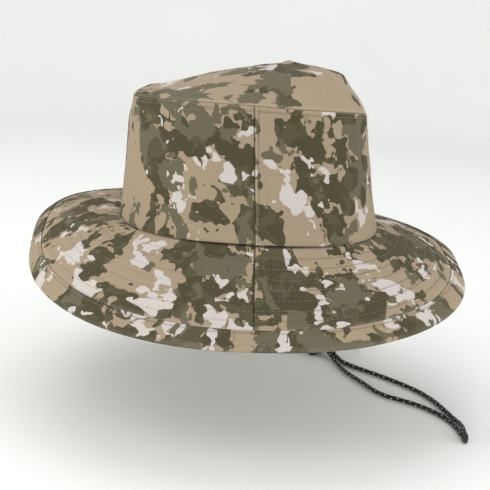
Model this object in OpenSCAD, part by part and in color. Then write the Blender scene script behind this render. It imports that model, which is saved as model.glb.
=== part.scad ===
// Boonie hat with a quilted brim, a chin cord and a sliding cord lock.
// The origin is the centre of the head opening, on the seam between crown and brim.
// +Z points up through the crown, -Y to the front, and +X to the right as seen from the front.
// Left and right in names are as seen from the front too.

/* [Head opening] */
// Width of the head opening, side to side
head_width = 172; // [150:1:190]
// Length of the head opening, front to back
head_length = 194; // [170:1:215]
// Squareness of the head opening, where 2 is an ellipse
head_squareness = 2.5; // [2:0.1:3]

/* [Crown] */
// Height of the side band
crown_height = 79; // [60:1:100]
// Width of the crown's top seam as a share of the head opening
crown_taper_x = 0.9; // [0.8:0.01:1]
// Length of the crown's top seam as a share of the head opening
crown_taper_y = 0.88; // [0.8:0.01:1]
// Lean of the crown's top towards -X
crown_lean = 5; // [0:0.5:10]
// Fall of the top seam towards +X
crown_fall_x = 2.3; // [0:0.1:6]
// Fall of the top seam towards the back
crown_fall_y = 2.9; // [0:0.1:6]
// How far the side band curves in at mid height
crown_waist = 1.2; // [0:0.1:4]
// Rise of the top panel above its seam
dome_rise = 18; // [5:1:30]
// Extra rise of the top panel at +X
dome_lift_x = 20; // [0:1:25]
// Extra rise of the top panel at the back
dome_lift_y = 7; // [0:1:12]
// How flat the top panel's plateau is, where 2 is a round dome
dome_flatness = 3.2; // [2:0.1:5]

/* [Brim] */
// Width of the brim from the crown seam to its bound edge
brim_width = 67.5; // [50:0.5:80]
// Share of the brim's width that the edge binding covers
binding_share = 0.2; // [0.1:0.01:0.3]
// Slope below level at the crown seam, averaged round the hat
root_slope = 21; // [0:1:40]
// Extra slope at the crown seam at front and back, taken off at the sides
root_front_back = 23; // [0:1:30]
// Extra slope at the crown seam at +X
root_side = 10; // [-15:1:15]
// Extra slope at the crown seam at the front
root_front = 13.5; // [-20:0.5:20]
// Twist of the slope at the crown seam
root_twist = 5; // [-10:1:10]
// Slope below level at the brim's edge, averaged round the hat
edge_slope = 29; // [0:1:45]
// Extra slope at the edge at the sides, taken off at front and back
edge_sides = 16; // [0:1:25]
// Extra slope at the edge at -X
edge_side = 8; // [-15:1:15]
// Extra slope at the edge at the front
edge_front = 22; // [-25:1:25]

/* [Cloth] */
// Thickness of the shell cloth
cloth = 0.6; // [0.4:0.1:1]
// Thickness of the brim's interlining
interlining = 0.8; // [0.5:0.1:1.5]
// Thickness of tapes and binding
tape = 0.5; // [0.3:0.1:0.8]
// Thickness of the sweatband
band = 1; // [0.6:0.1:1.5]
// Height of the sweatband
band_height = 32; // [25:1:40]
// Width of the seam tapes
tape_width = 12; // [8:1:16]

/* [Chin cord] */
// Diameter of the cord
cord_d = 3; // [2.5:0.1:3.2]
// Radius of the cord lock's barrel
lock_r = 5; // [4.6:0.1:6]
// Stroke of the lock's button
button_stroke = 2.5; // [1.5:0.1:2.5]

/* [Hidden] */

// Colours of the cloth and the fittings
camo_tan = [0.66, 0.59, 0.48];
camo_olive = [0.36, 0.35, 0.27];
lining_tan = [0.56, 0.51, 0.42];
canvas = [0.80, 0.78, 0.72];
cord_black = [0.05, 0.05, 0.05];
steel = [0.75, 0.75, 0.77];

// Free gap between neighbouring layers
gap = 0.3;
// Angle between two neighbouring columns of a grid round the hat
column_step = 7.5;
// Half of the angle left open at the front and back seams
seam_half = 0.1;

half_x = head_width / 2;
half_y = head_length / 2;
binding_start = brim_width * (1 - binding_share);
binding_middle = (binding_start + brim_width) / 2;

// ---- The hat's surfaces ----

function unit(v) = v / norm(v);
function power(base, exponent) = base <= 0 ? 0 : pow(base, exponent);

// Distance from the origin to the crown seam in direction a
function seam_radius(a) =
    let (n = head_squareness)
    pow(power(abs(cos(a)) / half_x, n) + power(abs(sin(a)) / half_y, n), -1 / n);

function seam_point(a) = seam_radius(a) * [cos(a), sin(a)];

// Outward direction at the crown seam, level
function seam_normal(a) =
    let (n = head_squareness - 1, p = seam_point(a))
    unit([
        sign(p.x) * power(abs(p.x) / half_x, n) / half_x,
        sign(p.y) * power(abs(p.y) / half_y, n) / half_y
    ]);

function slope_at_root(a) =
    root_slope - root_front_back * cos(2 * a) + root_side * cos(a)
    - root_front * sin(a) + root_twist * sin(2 * a);

function slope_at_edge(a) =
    edge_slope + edge_sides * cos(2 * a) - edge_side * cos(a) - edge_front * sin(a);

// Point on the brim: t from the crown seam along the cloth, d above the outer face.
// The brim's section is an arc whose slope changes evenly from root to edge.
function brim_point(a, t, d) =
    let (
        root = slope_at_root(a),
        here = root + (slope_at_edge(a) - root) * t / brim_width,
        half = (here - root) / 2,
        middle = (here + root) / 2,
        chord = abs(half) < 0.01 ? t : t * sin(half) * 180 / (half * PI),
        out = chord * cos(middle) + d * sin(here),
        p = seam_point(a),
        n = seam_normal(a)
    )
    [p.x + n.x * out, p.y + n.y * out, d * cos(here) - chord * sin(middle)];

// Point on the crown's top seam
function top_seam_point(a) =
    let (p = seam_point(a))
    [
        p.x * crown_taper_x - crown_lean,
        p.y * crown_taper_y,
        crown_height - crown_fall_x * cos(a) - crown_fall_y * sin(a)
    ];

// Point on the side band: s from 0 at the brim to 1 at the top seam, d outside the outer face
function side_point(a, s, d) =
    let (
        low = seam_point(a),
        high = top_seam_point(a),
        n = seam_normal(a),
        out = d - crown_waist * 4 * s * (1 - s)
    )
    [
        low.x + (high.x - low.x) * s + n.x * out,
        low.y + (high.y - low.y) * s + n.y * out,
        high.z * s
    ];

// Point on the top panel: r from 0 in the middle to 1 at its seam, d above the outer face
function dome_point(a, r, d) =
    let (
        middle = [-crown_lean, 0, crown_height],
        p = middle + (top_seam_point(a) - middle) * r,
        along = (p - middle) / half_x,
        rise = dome_rise + dome_lift_x * along.x + dome_lift_y * along.y
    )
    [p.x, p.y, p.z + (1 - pow(r, dome_flatness)) * rise + d];

// ---- Solids between two grids of points ----

// Even steps from a to b, both ends included, no step longer than size
function steps(a, b, size) =
    let (count = ceil(abs(b - a) / size))
    [for (i = [0:count]) a + (b - a) * i / count];

function quad(a, b, c, d) = [[a, b, c], [a, c, d]];

// Solid between an upper and a lower grid; each grid is a list of rows of points.
// A ring joins each row's last point to its first.
module slab(upper, lower, ring = false) {
    rows = len(upper);
    columns = len(upper[0]);
    shift = rows * columns;
    spans = ring ? columns : columns - 1;
    function at(row, column) = row * columns + column % columns;
    faces = [
        for (i = [0:rows - 2], j = [0:spans - 1]) each concat(
            quad(at(i, j), at(i, j + 1), at(i + 1, j + 1), at(i + 1, j)),
            quad(shift + at(i, j), shift + at(i + 1, j), shift + at(i + 1, j + 1), shift + at(i, j + 1))
        ),
        for (j = [0:spans - 1]) each concat(
            quad(at(0, j), shift + at(0, j), shift + at(0, j + 1), at(0, j + 1)),
            quad(at(rows - 1, j), at(rows - 1, j + 1), shift + at(rows - 1, j + 1), shift + at(rows - 1, j))
        ),
        for (i = [0:ring ? -1 : rows - 2]) each concat(
            quad(at(i, 0), at(i + 1, 0), shift + at(i + 1, 0), shift + at(i, 0)),
            quad(at(i, spans), shift + at(i, spans), shift + at(i + 1, spans), at(i + 1, spans))
        )
    ];
    points = [for (grid = [upper, lower], row = grid, p = row) p];
    polyhedron(points = points, faces = faces, convexity = 10);
}

// Angles of the grid's columns between two seams, or all the way round
function half_columns(from) = steps(from + seam_half, from + 180 - seam_half, column_step);
ring_columns = [for (a = [0:column_step:359]) a];

// One layer of the brim, from d_low to d_high above the outer face
module brim_layer(columns, d_high, d_low, t_end) {
    rows = concat(steps(gap, binding_start, 12), [binding_middle, t_end]);
    slab(
        [for (t = rows) [for (a = columns) brim_point(a, t, d_high)]],
        [for (t = rows) [for (a = columns) brim_point(a, t, d_low)]]
    );
}

// One layer of the side band, from s_low to s_high, d_in to d_out
module side_layer(columns, s_low, s_high, d_out, d_in, ring = false) {
    rows = steps(s_high, s_low, 0.3);
    slab(
        [for (s = rows) [for (a = columns) side_point(a, s, d_out)]],
        [for (s = rows) [for (a = columns) side_point(a, s, d_in)]],
        ring
    );
}

// ---- Crown ----

// Heights on the side band as shares of its height
top_edge = 1 - gap / crown_height;
band_top = band_height / crown_height;
tape_top = 1 - 3 / crown_height;
tape_low = tape_top - tape_width / crown_height;
tape_face = -cloth - gap;
// The sweatband stands a little further in than the tapes
band_face = tape_face - 0.2;
// Share of the side band's height left free above and below a seam tape
tape_clear = 0.02;
// Half of the label's width, as an angle round the hat
label_angle = 7;

module crown_top() {
    rings = [for (i = [1:6]) sqrt(i / 6)];
    count = len(ring_columns);
    points = concat(
        [dome_point(0, 0, cloth)],
        [for (r = rings, a = ring_columns) dome_point(a, r, cloth)],
        [dome_point(0, 0, 0)],
        [for (r = rings, a = ring_columns) dome_point(a, r, 0)]
    );
    shift = 1 + count * len(rings);
    function at(ring, column) = 1 + ring * count + column % count;
    last = len(rings) - 1;
    faces = [
        for (j = [0:count - 1]) each [
            [0, at(0, j + 1), at(0, j)],
            [shift, shift + at(0, j), shift + at(0, j + 1)]
        ],
        for (i = [0:last - 1], j = [0:count - 1]) each concat(
            quad(at(i, j), at(i, j + 1), at(i + 1, j + 1), at(i + 1, j)),
            quad(shift + at(i, j), shift + at(i + 1, j), shift + at(i + 1, j + 1), shift + at(i, j + 1))
        ),
        for (j = [0:count - 1]) each
            quad(at(last, j), at(last, j + 1), shift + at(last, j + 1), shift + at(last, j))
    ];
    color(camo_tan) polyhedron(points = points, faces = faces, convexity = 10);
}

module crown_side(from) {
    color(camo_olive) side_layer(half_columns(from), 0, top_edge, 0, -cloth);
}

module crown_top_seam_tape() {
    color(lining_tan) side_layer(ring_columns, tape_low, tape_top, tape_face, tape_face - tape, true);
}

// Tape over the inside of the side band's seam at angle a
module crown_seam_tape(a) {
    half = tape_width / 2 / seam_radius(a) * 180 / PI;
    columns = steps(a - half, a + half, half);
    color(lining_tan) side_layer(
        columns, band_top + tape_clear, tape_low - tape_clear, tape_face, tape_face - tape
    );
}

module sweatband() {
    color(lining_tan) side_layer(ring_columns, 0.01, band_top, band_face, band_face - band, true);
}

// Blank folded label sewn to the sweatband at the back
module size_label() {
    face = band_face - band - gap;
    columns = steps(90 - label_angle, 90 + label_angle, label_angle / 2);
    color(canvas) side_layer(columns, 0.08, 0.32, face, face - tape);
}

// ---- Brim ----

interlining_face = -cloth - gap;
under_face = interlining_face - interlining - gap;
brim_bottom = under_face - cloth;
layer_end = brim_width - tape - gap - 0.3;

module brim_top(from) {
    color(camo_olive) brim_layer(half_columns(from), 0, -cloth, layer_end);
}

module brim_interlining(from) {
    color(canvas) brim_layer(
        half_columns(from), interlining_face, interlining_face - interlining, layer_end - 1
    );
}

module brim_under(from) {
    color(camo_tan) brim_layer(half_columns(from), under_face, brim_bottom, layer_end);
}

// Folded strip round the brim's edge; its section is a U of [t, d] points
module brim_edge_binding() {
    top = gap + tape;
    bottom = brim_bottom - gap - tape;
    middle = (top + bottom) / 2;
    outer = [
        [binding_start, top], [binding_middle, top], [brim_width - 1, top],
        [brim_width - 0.1, top - 0.9], [brim_width, middle], [brim_width - 0.1, bottom + 0.9],
        [brim_width - 1, bottom], [binding_middle, bottom], [binding_start, bottom]
    ];
    inner = [
        [binding_start, gap], [binding_middle, gap], [brim_width - 1, gap],
        [brim_width - 0.6, gap - 0.4], [brim_width - 0.5, middle],
        [brim_width - 0.6, brim_bottom - gap + 0.4],
        [brim_width - 1, brim_bottom - gap], [binding_middle, brim_bottom - gap],
        [binding_start, brim_bottom - gap]
    ];
    color(camo_olive) slab(
        [for (p = outer) [for (a = ring_columns) brim_point(a, p[0], p[1])]],
        [for (p = inner) [for (a = ring_columns) brim_point(a, p[0], p[1])]],
        true
    );
}

// ---- Chin cord ----

cord_r = cord_d / 2;
// The cords leave the hat through the tabs at [+-tab_x, tab_y]
tab_x = 82;
tab_y = 22;
tab_top = -0.5;
tab_bottom = -11;
tab_width = 12;
tab_thickness = 4.4;

// Middle of the cord lock, and the direction in which the cords run through it
lock_at = [67, 88, -120];
lock_turn = -atan2(3, 4);
// Distance of each cord from the lock's middle, along its barrel
cord_offset = 2.5;

// Route of the cord from the tab at -X: down to the floor, through the lock, to the tip
route_left = [
    [-82, 22, -5], [-82, 22, -13], [-80.5, 24, -22], [-77.5, 28, -33], [-72.5, 34, -49],
    [-67, 41, -65], [-61, 47.5, -79], [-54.5, 55, -92], [-48, 63, -102.5], [-41, 71, -111],
    [-33.5, 79.5, -117.5], [-25.5, 89, -121.5], [-17, 98.5, -123.5], [-7, 106, -123.5],
    [4, 110.5, -123.5], [15, 112, -123.5], [26, 110.5, -123], [37.5, 105.5, -121.5],
    [49.5, 98, -120], [57.5, 92, -120], [65.5, 86, -120], [71.5, 81.5, -120],
    [75, 76.5, -121.5], [77.5, 68, -123.2], [79.5, 58, -123.5], [81.5, 47, -123.5],
    [85, 36, -123.5], [89.5, 25.5, -123.5], [94, 15, -123.5], [98.5, 4, -123.5],
    [105, -5.5, -123.5], [114, -12.5, -123.5], [123, -19.5, -123.5], [131, -28.5, -123.5],
    [137, -38, -123.5], [141, -48, -123.5], [143, -59, -123.5], [143.5, -69, -123.5],
    [143.5, -78, -123.5]
];

// Route of the cord from the tab at +X
route_right = [
    [82, 22, -5], [82, 22, -13], [83, 26, -24], [84.5, 32, -39], [86.5, 39.5, -54.5],
    [88.5, 47.5, -69], [90.5, 56.5, -83.5], [92.5, 66, -96], [95, 77, -107],
    [97.5, 88, -114.5], [100.5, 98.5, -120], [103, 108, -122.8], [103.5, 118, -123.5],
    [100, 128, -123.5], [91.5, 136, -123.5], [80, 140, -123.5], [68, 140, -123.5],
    [56.5, 136, -123.5], [47, 129, -123.5], [42, 119.5, -123], [44.5, 109, -121.5],
    [52.5, 102, -120], [60.5, 96, -120], [68.5, 90, -120], [74.5, 85.5, -120],
    [78, 80.5, -121.3], [80.5, 72.5, -122.8], [84.5, 62.5, -123.5], [91.5, 53, -123.5],
    [100, 44, -123.5], [108.5, 35, -123.5], [117, 25, -123.5], [125, 14.5, -123.5],
    [132, 3.5, -123.5], [137, -8.5, -123.5], [140.5, -21, -123.5], [143, -33, -123.5],
    [145.2, -44, -123.5], [146.3, -53.5, -122.6], [145.8, -62, -121.4], [144.5, -70, -120.5],
    [143.5, -78, -120.3]
];

// Tube along a route, with one ring at each of its points
module tube(route, r, sides = 8) {
    last = len(route) - 1;
    function heading(i) = unit(route[min(i + 1, last)] - route[max(i - 1, 0)]);
    // Level direction across the route, or +X where the route is upright
    function across(i) =
        let (h = heading(i), level = cross(h, [0, 0, 1]))
        norm(level) < 0.2 ? [1, 0, 0] - h * h.x : level;
    function ring(i) =
        let (h = heading(i), u = unit(across(i)), v = cross(u, h))
        [for (k = [0:sides - 1]) let (a = (k + 0.5) * 360 / sides) route[i] + r * (u * cos(a) + v * sin(a))];
    points = [for (i = [0:last]) each ring(i)];
    function at(i, k) = i * sides + k % sides;
    faces = [
        [for (k = [0:sides - 1]) at(0, k)],
        [for (k = [sides - 1:-1:0]) at(last, k)],
        for (i = [0:last - 1], k = [0:sides - 1]) each
            quad(at(i, k), at(i + 1, k), at(i + 1, k + 1), at(i, k + 1))
    ];
    color(cord_black) polyhedron(points = points, faces = faces, convexity = 10);
}

// Folded tab that holds the end of the cord, with its bore open downwards
module cord_tab(x) {
    color(lining_tan) difference() {
        translate([x - tab_thickness / 2, tab_y - tab_width / 2, tab_bottom])
            cube([tab_thickness, tab_width, tab_top - tab_bottom]);
        translate([x, tab_y, tab_bottom - 1])
            cylinder(h = 8.5, r = cord_r + 0.1, $fn = 32);
    }
}

// Rounded end that binds the two cords, one over the other
module cord_tip() {
    tip_length = 2.5;
    r = cord_r + 0.1;
    start = route_left[len(route_left) - 1];
    over = route_right[len(route_right) - 1].z;
    color(cord_black) hull() for (z = [start.z + r - cord_r, over]) {
        translate([start.x, start.y - tip_length, z]) sphere(r = r, $fn = 24);
        translate([start.x, start.y, z]) rotate([90, 0, 0]) cylinder(h = 0.5, r = r, $fn = 24);
    }
}

// ---- Cord lock ----
// Built with its barrel along Y: the nose at +Y, the button at -Y, the cords along X.

barrel_back = -7.5;
barrel_bore = 3.4;
button_r = 3.2;
slot_half = cord_offset + cord_r + 0.25;
slot_height = cord_d + 0.4;
button_inner = slot_half + 1.4;
spring_space = 4;
bore_end = button_inner + spring_space;
nose_end = bore_end + 1.6;
button_out = 4.5;

module place_lock() {
    translate(lock_at) rotate([0, 0, lock_turn]) mirror([0, 1, 0]) children();
}

// Slot for the two cords, from y_from to y_to along the barrel
module cord_slot(y_from, y_to, width) {
    r = slot_height / 2;
    translate([-width / 2, y_from + r, 0]) rotate([0, 90, 0]) cylinder(h = width, r = r, $fn = 32);
    translate([-width / 2, y_to - r, 0]) rotate([0, 90, 0]) cylinder(h = width, r = r, $fn = 32);
    translate([-width / 2, y_from + r, -r]) cube([width, y_to - y_from - 2 * r, slot_height]);
}

module cord_lock_body() {
    nose_r = 2;
    color(cord_black) place_lock() difference() {
        rotate([-90, 0, 0]) rotate_extrude($fn = 48) polygon([
            [barrel_bore + 0.1, barrel_back],
            [lock_r - 0.5, barrel_back],
            [lock_r, barrel_back + 0.5],
            [lock_r, slot_half + 0.6],
            for (a = [0:18:90]) [
                lock_r - 3.2 + nose_r * 0.6 + nose_r * cos(a),
                nose_end - nose_r + nose_r * sin(a)
            ],
            [0, nose_end],
            [0, bore_end],
            [barrel_bore, bore_end],
            [barrel_bore, barrel_back + 0.1]
        ]);
        cord_slot(-slot_half, slot_half, 4 * lock_r);
    }
}

module cord_lock_button() {
    back = barrel_back - button_out;
    color(cord_black) place_lock() difference() {
        rotate([-90, 0, 0]) rotate_extrude($fn = 48) polygon([
            [0, back],
            [button_r - 0.8, back],
            [button_r, back + 0.8],
            [button_r, button_inner],
            [0, button_inner]
        ]);
        cord_slot(-slot_half - button_stroke, slot_half, 4 * lock_r);
    }
}

// Compression spring between the button and the bottom of the barrel's bore
module cord_lock_spring() {
    wire_r = 0.14;
    coil_r = 2.3;
    turns = 3.5;
    per_turn = 12;
    rise = (spring_space - 2 * wire_r - 0.2) / turns;
    sides = 6;
    count = turns * per_turn;
    function ring(i) =
        let (turn = i * 360 / per_turn, y = button_inner + wire_r + 0.1 + rise * i / per_turn)
        [for (k = [0:sides - 1])
            let (a = k * 360 / sides, out = coil_r + wire_r * cos(a))
            [out * cos(turn), y + wire_r * sin(a), out * sin(turn)]];
    points = [for (i = [0:count]) each ring(i)];
    function at(i, k) = i * sides + k % sides;
    faces = [
        [for (k = [sides - 1:-1:0]) at(0, k)],
        [for (k = [0:sides - 1]) at(count, k)],
        for (i = [0:count - 1], k = [0:sides - 1]) each
            quad(at(i, k), at(i, k + 1), at(i + 1, k + 1), at(i + 1, k))
    ];
    color(steel) place_lock() polyhedron(points = points, faces = faces, convexity = 10);
}

crown_top();
crown_side(90);  // crown_side_left
crown_side(-90);  // crown_side_right
crown_top_seam_tape();
crown_seam_tape(-90);  // crown_front_seam_tape
crown_seam_tape(90);  // crown_back_seam_tape
sweatband();
size_label();
brim_top(90);  // brim_top_left
brim_top(-90);  // brim_top_right
brim_interlining(90);  // brim_interlining_left
brim_interlining(-90);  // brim_interlining_right
brim_under(90);  // brim_under_left
brim_under(-90);  // brim_under_right
brim_edge_binding();
cord_tab(-tab_x);  // cord_tab_left
cord_tab(tab_x);  // cord_tab_right
tube(route_left, cord_r);  // chin_cord_left
tube(route_right, cord_r);  // chin_cord_right
cord_tip();
cord_lock_body();
cord_lock_button();
cord_lock_spring();
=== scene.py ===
"""Looks of the boonie hat: cloth, quilting, stitches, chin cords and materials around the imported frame.

Everything is in metres and in the frame's own axes: +Z up through the crown, -Y to the front.
Left and right in names are as seen from the front.
"""

import math

import bpy
import numpy as np
from mathutils import Matrix, Vector, noise


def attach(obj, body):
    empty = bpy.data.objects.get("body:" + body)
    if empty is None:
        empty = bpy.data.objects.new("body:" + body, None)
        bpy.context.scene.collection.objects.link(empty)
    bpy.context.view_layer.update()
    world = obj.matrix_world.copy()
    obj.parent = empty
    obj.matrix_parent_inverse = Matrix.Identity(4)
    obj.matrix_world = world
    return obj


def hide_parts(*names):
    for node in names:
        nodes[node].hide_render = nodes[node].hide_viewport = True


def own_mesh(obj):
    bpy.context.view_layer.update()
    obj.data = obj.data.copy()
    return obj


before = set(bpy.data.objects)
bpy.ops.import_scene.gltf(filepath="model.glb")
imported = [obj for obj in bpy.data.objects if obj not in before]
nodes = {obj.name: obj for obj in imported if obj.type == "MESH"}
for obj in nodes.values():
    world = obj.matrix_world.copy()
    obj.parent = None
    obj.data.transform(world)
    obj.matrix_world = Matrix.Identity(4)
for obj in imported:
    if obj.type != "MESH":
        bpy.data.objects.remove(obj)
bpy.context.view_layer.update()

MM = 0.001
TAU = 2 * math.pi

# ---- Sizes, as in the CAD model ----

HEAD_HALF_X = 86 * MM
HEAD_HALF_Y = 97 * MM
SQUARENESS = 2.5

CROWN_HEIGHT = 79 * MM
CROWN_TAPER = (0.9, 0.88)
CROWN_LEAN = 5 * MM
CROWN_FALL = (2.3 * MM, 2.9 * MM)
CROWN_WAIST = 1.2 * MM
DOME_RISE = 18 * MM
DOME_LIFT = (20 * MM, 7 * MM)
DOME_FLATNESS = 3.2

BRIM_WIDTH = 67.5 * MM
PITCH = BRIM_WIDTH / 10
BINDING_START = 8 * PITCH
QUILT_ROWS = 7

CLOTH = 0.6 * MM
INTERLINING = 0.8 * MM
TAPE = 0.5 * MM
BAND = 1 * MM
BAND_HEIGHT = 32 * MM
GAP = 0.3 * MM
UNDER_TOP = -(CLOTH + GAP + INTERLINING + GAP)
UNDER_BOTTOM = UNDER_TOP - CLOTH
# The floor lies just under the lowest cord
STAGE_Z = -125.3 * MM

CORD_D = 3 * MM
STRANDS = 8
# Length of cord over which its braid repeats
BRAID_PITCH = 2.4 * MM
# Pale flecks: their spacing along the cord, and how many there are round it
FLECK_STEP = 4.8 * MM
FLECK_COLUMNS = 3


# ---- Small helpers ----

# How far apart in the noise two neighbouring seeds lie, in features
SEED_SHIFT = 17.3


def spread(*parts):
    """The parts brought to one shape and stacked along a last axis."""
    return np.stack(np.broadcast_arrays(*parts), -1)


def unit(v):
    return v / np.linalg.norm(v, axis=-1, keepdims=True)


def path_lengths(points):
    """Distance along a line of points, from 0."""
    steps = np.linalg.norm(np.diff(points, axis=0), axis=1)
    return np.concatenate([[0], np.cumsum(steps)])


def smooth_step(x):
    x = np.clip(x, 0, 1)
    return x * x * (3 - 2 * x)


def nearest(*distances):
    return np.minimum.reduce(np.broadcast_arrays(*distances))


def bump(x, width):
    """1 at x = 0, falling smoothly to 0 at a few widths away."""
    return np.exp(-(x / width) ** 2)


def degrees_from(a, middle):
    """Signed angle from the direction middle, both ways round at most 180 degrees."""
    return (np.degrees(a) - middle + 180) % 360 - 180


def noise_field(points, size, seed=0):
    """Smooth noise from -1 to 1 at each point, with features about as large as size, one or one per axis."""
    flat = points.reshape(-1, points.shape[-1]) / size
    shift = SEED_SHIFT * seed
    values = [noise.noise(Vector((p[0] + shift, p[1] - shift, p[2] if len(p) > 2 else shift))) for p in flat]
    return np.array(values).reshape(points.shape[:-1])


# ---- The hat's surfaces: angles in radians, 0 at +X and -90 degrees at the front ----


def seam_point(a):
    """Point of the seam between crown and brim, level."""
    n = SQUARENESS
    size = (abs(np.cos(a)) / HEAD_HALF_X) ** n + (abs(np.sin(a)) / HEAD_HALF_Y) ** n
    radius = size ** (-1 / n)
    return spread(radius * np.cos(a), radius * np.sin(a))


def seam_normal(a):
    """Outward direction at the crown seam, level."""
    p = seam_point(a)
    n = SQUARENESS - 1
    half = np.array([HEAD_HALF_X, HEAD_HALF_Y])
    return unit(np.sign(p) * (abs(p) / half) ** n / half)


def brim_slopes(a):
    """Slopes below level at the crown seam and at the brim's edge, in radians; fitted to the photo."""
    root = 21 - 23 * np.cos(2 * a) + 10 * np.cos(a) - 13.5 * np.sin(a) + 5 * np.sin(2 * a)
    edge = 29 + 16 * np.cos(2 * a) - 8 * np.cos(a) - 22 * np.sin(a)
    return np.radians(root), np.radians(edge)


def brim_point(a, t, d):
    """Point on the brim: t out from the crown seam along the cloth, d above the outer face."""
    a, t, d = np.broadcast_arrays(a, t, d)
    root, edge = brim_slopes(a)
    here = root + (edge - root) * t / BRIM_WIDTH
    half = (here - root) / 2
    middle = (here + root) / 2
    chord = t * np.sinc(half / math.pi)
    out = chord * np.cos(middle) + d * np.sin(here)
    level = seam_point(a) + seam_normal(a) * out[..., None]
    return np.concatenate([level, (d * np.cos(here) - chord * np.sin(middle))[..., None]], -1)


def top_seam_point(a):
    """Point on the seam between the side band and the top panel."""
    p = seam_point(a)
    return spread(
        p[..., 0] * CROWN_TAPER[0] - CROWN_LEAN,
        p[..., 1] * CROWN_TAPER[1],
        CROWN_HEIGHT - CROWN_FALL[0] * np.cos(a) - CROWN_FALL[1] * np.sin(a),
    )


def side_point(a, s, d):
    """Point on the side band: s from 0 at the brim to 1 at the top seam, d outside the outer face."""
    a, s, d = np.broadcast_arrays(a, s, d)
    low, high, n = seam_point(a), top_seam_point(a), seam_normal(a)
    out = (d - CROWN_WAIST * 4 * s * (1 - s))[..., None]
    level = low + (high[..., :2] - low) * s[..., None] + n * out
    return np.concatenate([level, (high[..., 2] * s)[..., None]], -1)


def dome_point(a, r, d):
    """Point on the top panel: r from 0 in the middle to 1 at its seam, d above the outer face."""
    a, r, d = np.broadcast_arrays(a, r, d)
    middle = np.array([-CROWN_LEAN, 0, CROWN_HEIGHT])
    p = middle + (top_seam_point(a) - middle) * r[..., None]
    along = (p - middle) / HEAD_HALF_X
    rise = DOME_RISE + DOME_LIFT[0] * along[..., 0] + DOME_LIFT[1] * along[..., 1]
    p[..., 2] += (1 - r ** DOME_FLATNESS) * rise + d
    return p


def even_angles(curve, start, end, step):
    """Angles from start to end, in degrees, whose points on the curve lie evenly, about step apart."""
    fine = np.radians(np.linspace(start, end, 1500))
    along = path_lengths(curve(fine))
    count = max(2, round(along[-1] / step) + 1)
    return np.interp(np.linspace(0, along[-1], count), along, fine)


def edge_angles(start, end, step):
    """Angles whose points on the brim's edge lie evenly: see even_angles."""
    return even_angles(lambda a: brim_point(a, BRIM_WIDTH, 0.0), start, end, step)


def finer_ends(a, reach, radius, step=0.4 * MM):
    """The angles a, with more of them, step apart, near both ends; radius turns angles into lengths."""
    extra = np.arange(step, reach, step) / radius
    return np.union1d(a, np.concatenate([a[0] + extra, a[-1] - extra]))


def seam_distance(a, start):
    """Distance along the crown seam from the angle start, in degrees."""
    fine = np.radians(np.linspace(start, start + 360, 3000))
    return np.interp(a, fine, path_lengths(seam_point(fine)))


# ---- Meshes ----

# Channels of a piece's paint, after the hints for olive, green and white
WEAR, ROW_OFF, SEAM_OFF = 3, 4, 5
# Faces that meet at more than this angle keep a sharp edge
SHARP_ANGLE = math.radians(50)


def make_mesh(name, vertices, faces, materials):
    mesh = bpy.data.meshes.new(name)
    mesh.from_pydata(np.reshape(vertices, (-1, 3)).tolist(), [], [list(f) for f in faces])
    for material in materials:
        mesh.materials.append(material)
    mesh.shade_smooth()
    return mesh


def make_object(name, vertices, faces, materials, body="hat", uvs=None, paint=None, face_material=None):
    """A smooth mesh piece that rides on a body; uvs are metres on the cloth.

    paint holds, for each point, hints for olive, green and white, wear, and the distances in metres to the
    nearest stitch row and to the nearest seam, which set the painted shade beside them.
    """
    mesh = make_mesh(name, vertices, faces, materials)
    if uvs is not None:
        index = np.zeros(len(mesh.loops), np.int32)
        mesh.loops.foreach_get("vertex_index", index)
        layer = mesh.uv_layers.new(name="cloth")
        layer.data.foreach_set("uv", np.reshape(uvs, (-1, 2))[index].astype(np.float32).ravel())
    if paint is not None:
        channels = np.reshape(paint, (-1, SEAM_OFF + 1)).astype(np.float32)
        attribute = mesh.attributes.new("paint", "FLOAT_COLOR", "POINT")
        attribute.data.foreach_set("color", channels[:, : WEAR + 1].ravel())
        attribute = mesh.attributes.new("seams", "FLOAT_VECTOR", "POINT")
        attribute.data.foreach_set("vector", channels[:, [ROW_OFF, SEAM_OFF, SEAM_OFF]].ravel())
    if face_material is not None:
        mesh.polygons.foreach_set("material_index", np.asarray(face_material, np.int32))
    mesh.set_sharp_from_angle(angle=SHARP_ANGLE)
    mesh.update()
    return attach(add_object(name, mesh), body)


def add_object(name, data):
    """An object of the scene that shows the data."""
    added = bpy.data.objects.new(name, data)
    bpy.context.scene.collection.objects.link(added)
    return added


def stand_in(piece, node):
    """The piece replaces a CAD node, which is hidden."""
    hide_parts(node)
    return piece


def grid_quads(rows, columns):
    """Quads of a grid whose points are numbered row by row."""
    i, j = np.meshgrid(np.arange(rows - 1), np.arange(columns - 1), indexing="ij")
    corner = (i * columns + j).ravel()
    return spread(corner, corner + columns, corner + columns + 1, corner + 1)


def ring_quads(rows, columns):
    """Quads between rings of points, numbered ring by ring, each ring closed on itself."""
    i, j = np.meshgrid(np.arange(rows - 1) * columns, np.arange(columns), indexing="ij")
    k = (j + 1) % columns
    return spread(i + j, i + k, i + columns + k, i + columns + j).reshape(-1, 4)


def capped_rings(rings, sides):
    """Faces of a closed tube; each ring has sides + 1 points, of which the last lies on the first."""
    last = (rings - 1) * (sides + 1)
    caps = [list(range(sides - 1, -1, -1)), list(range(last, last + sides))]
    return grid_quads(rings, sides + 1).tolist() + caps


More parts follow.
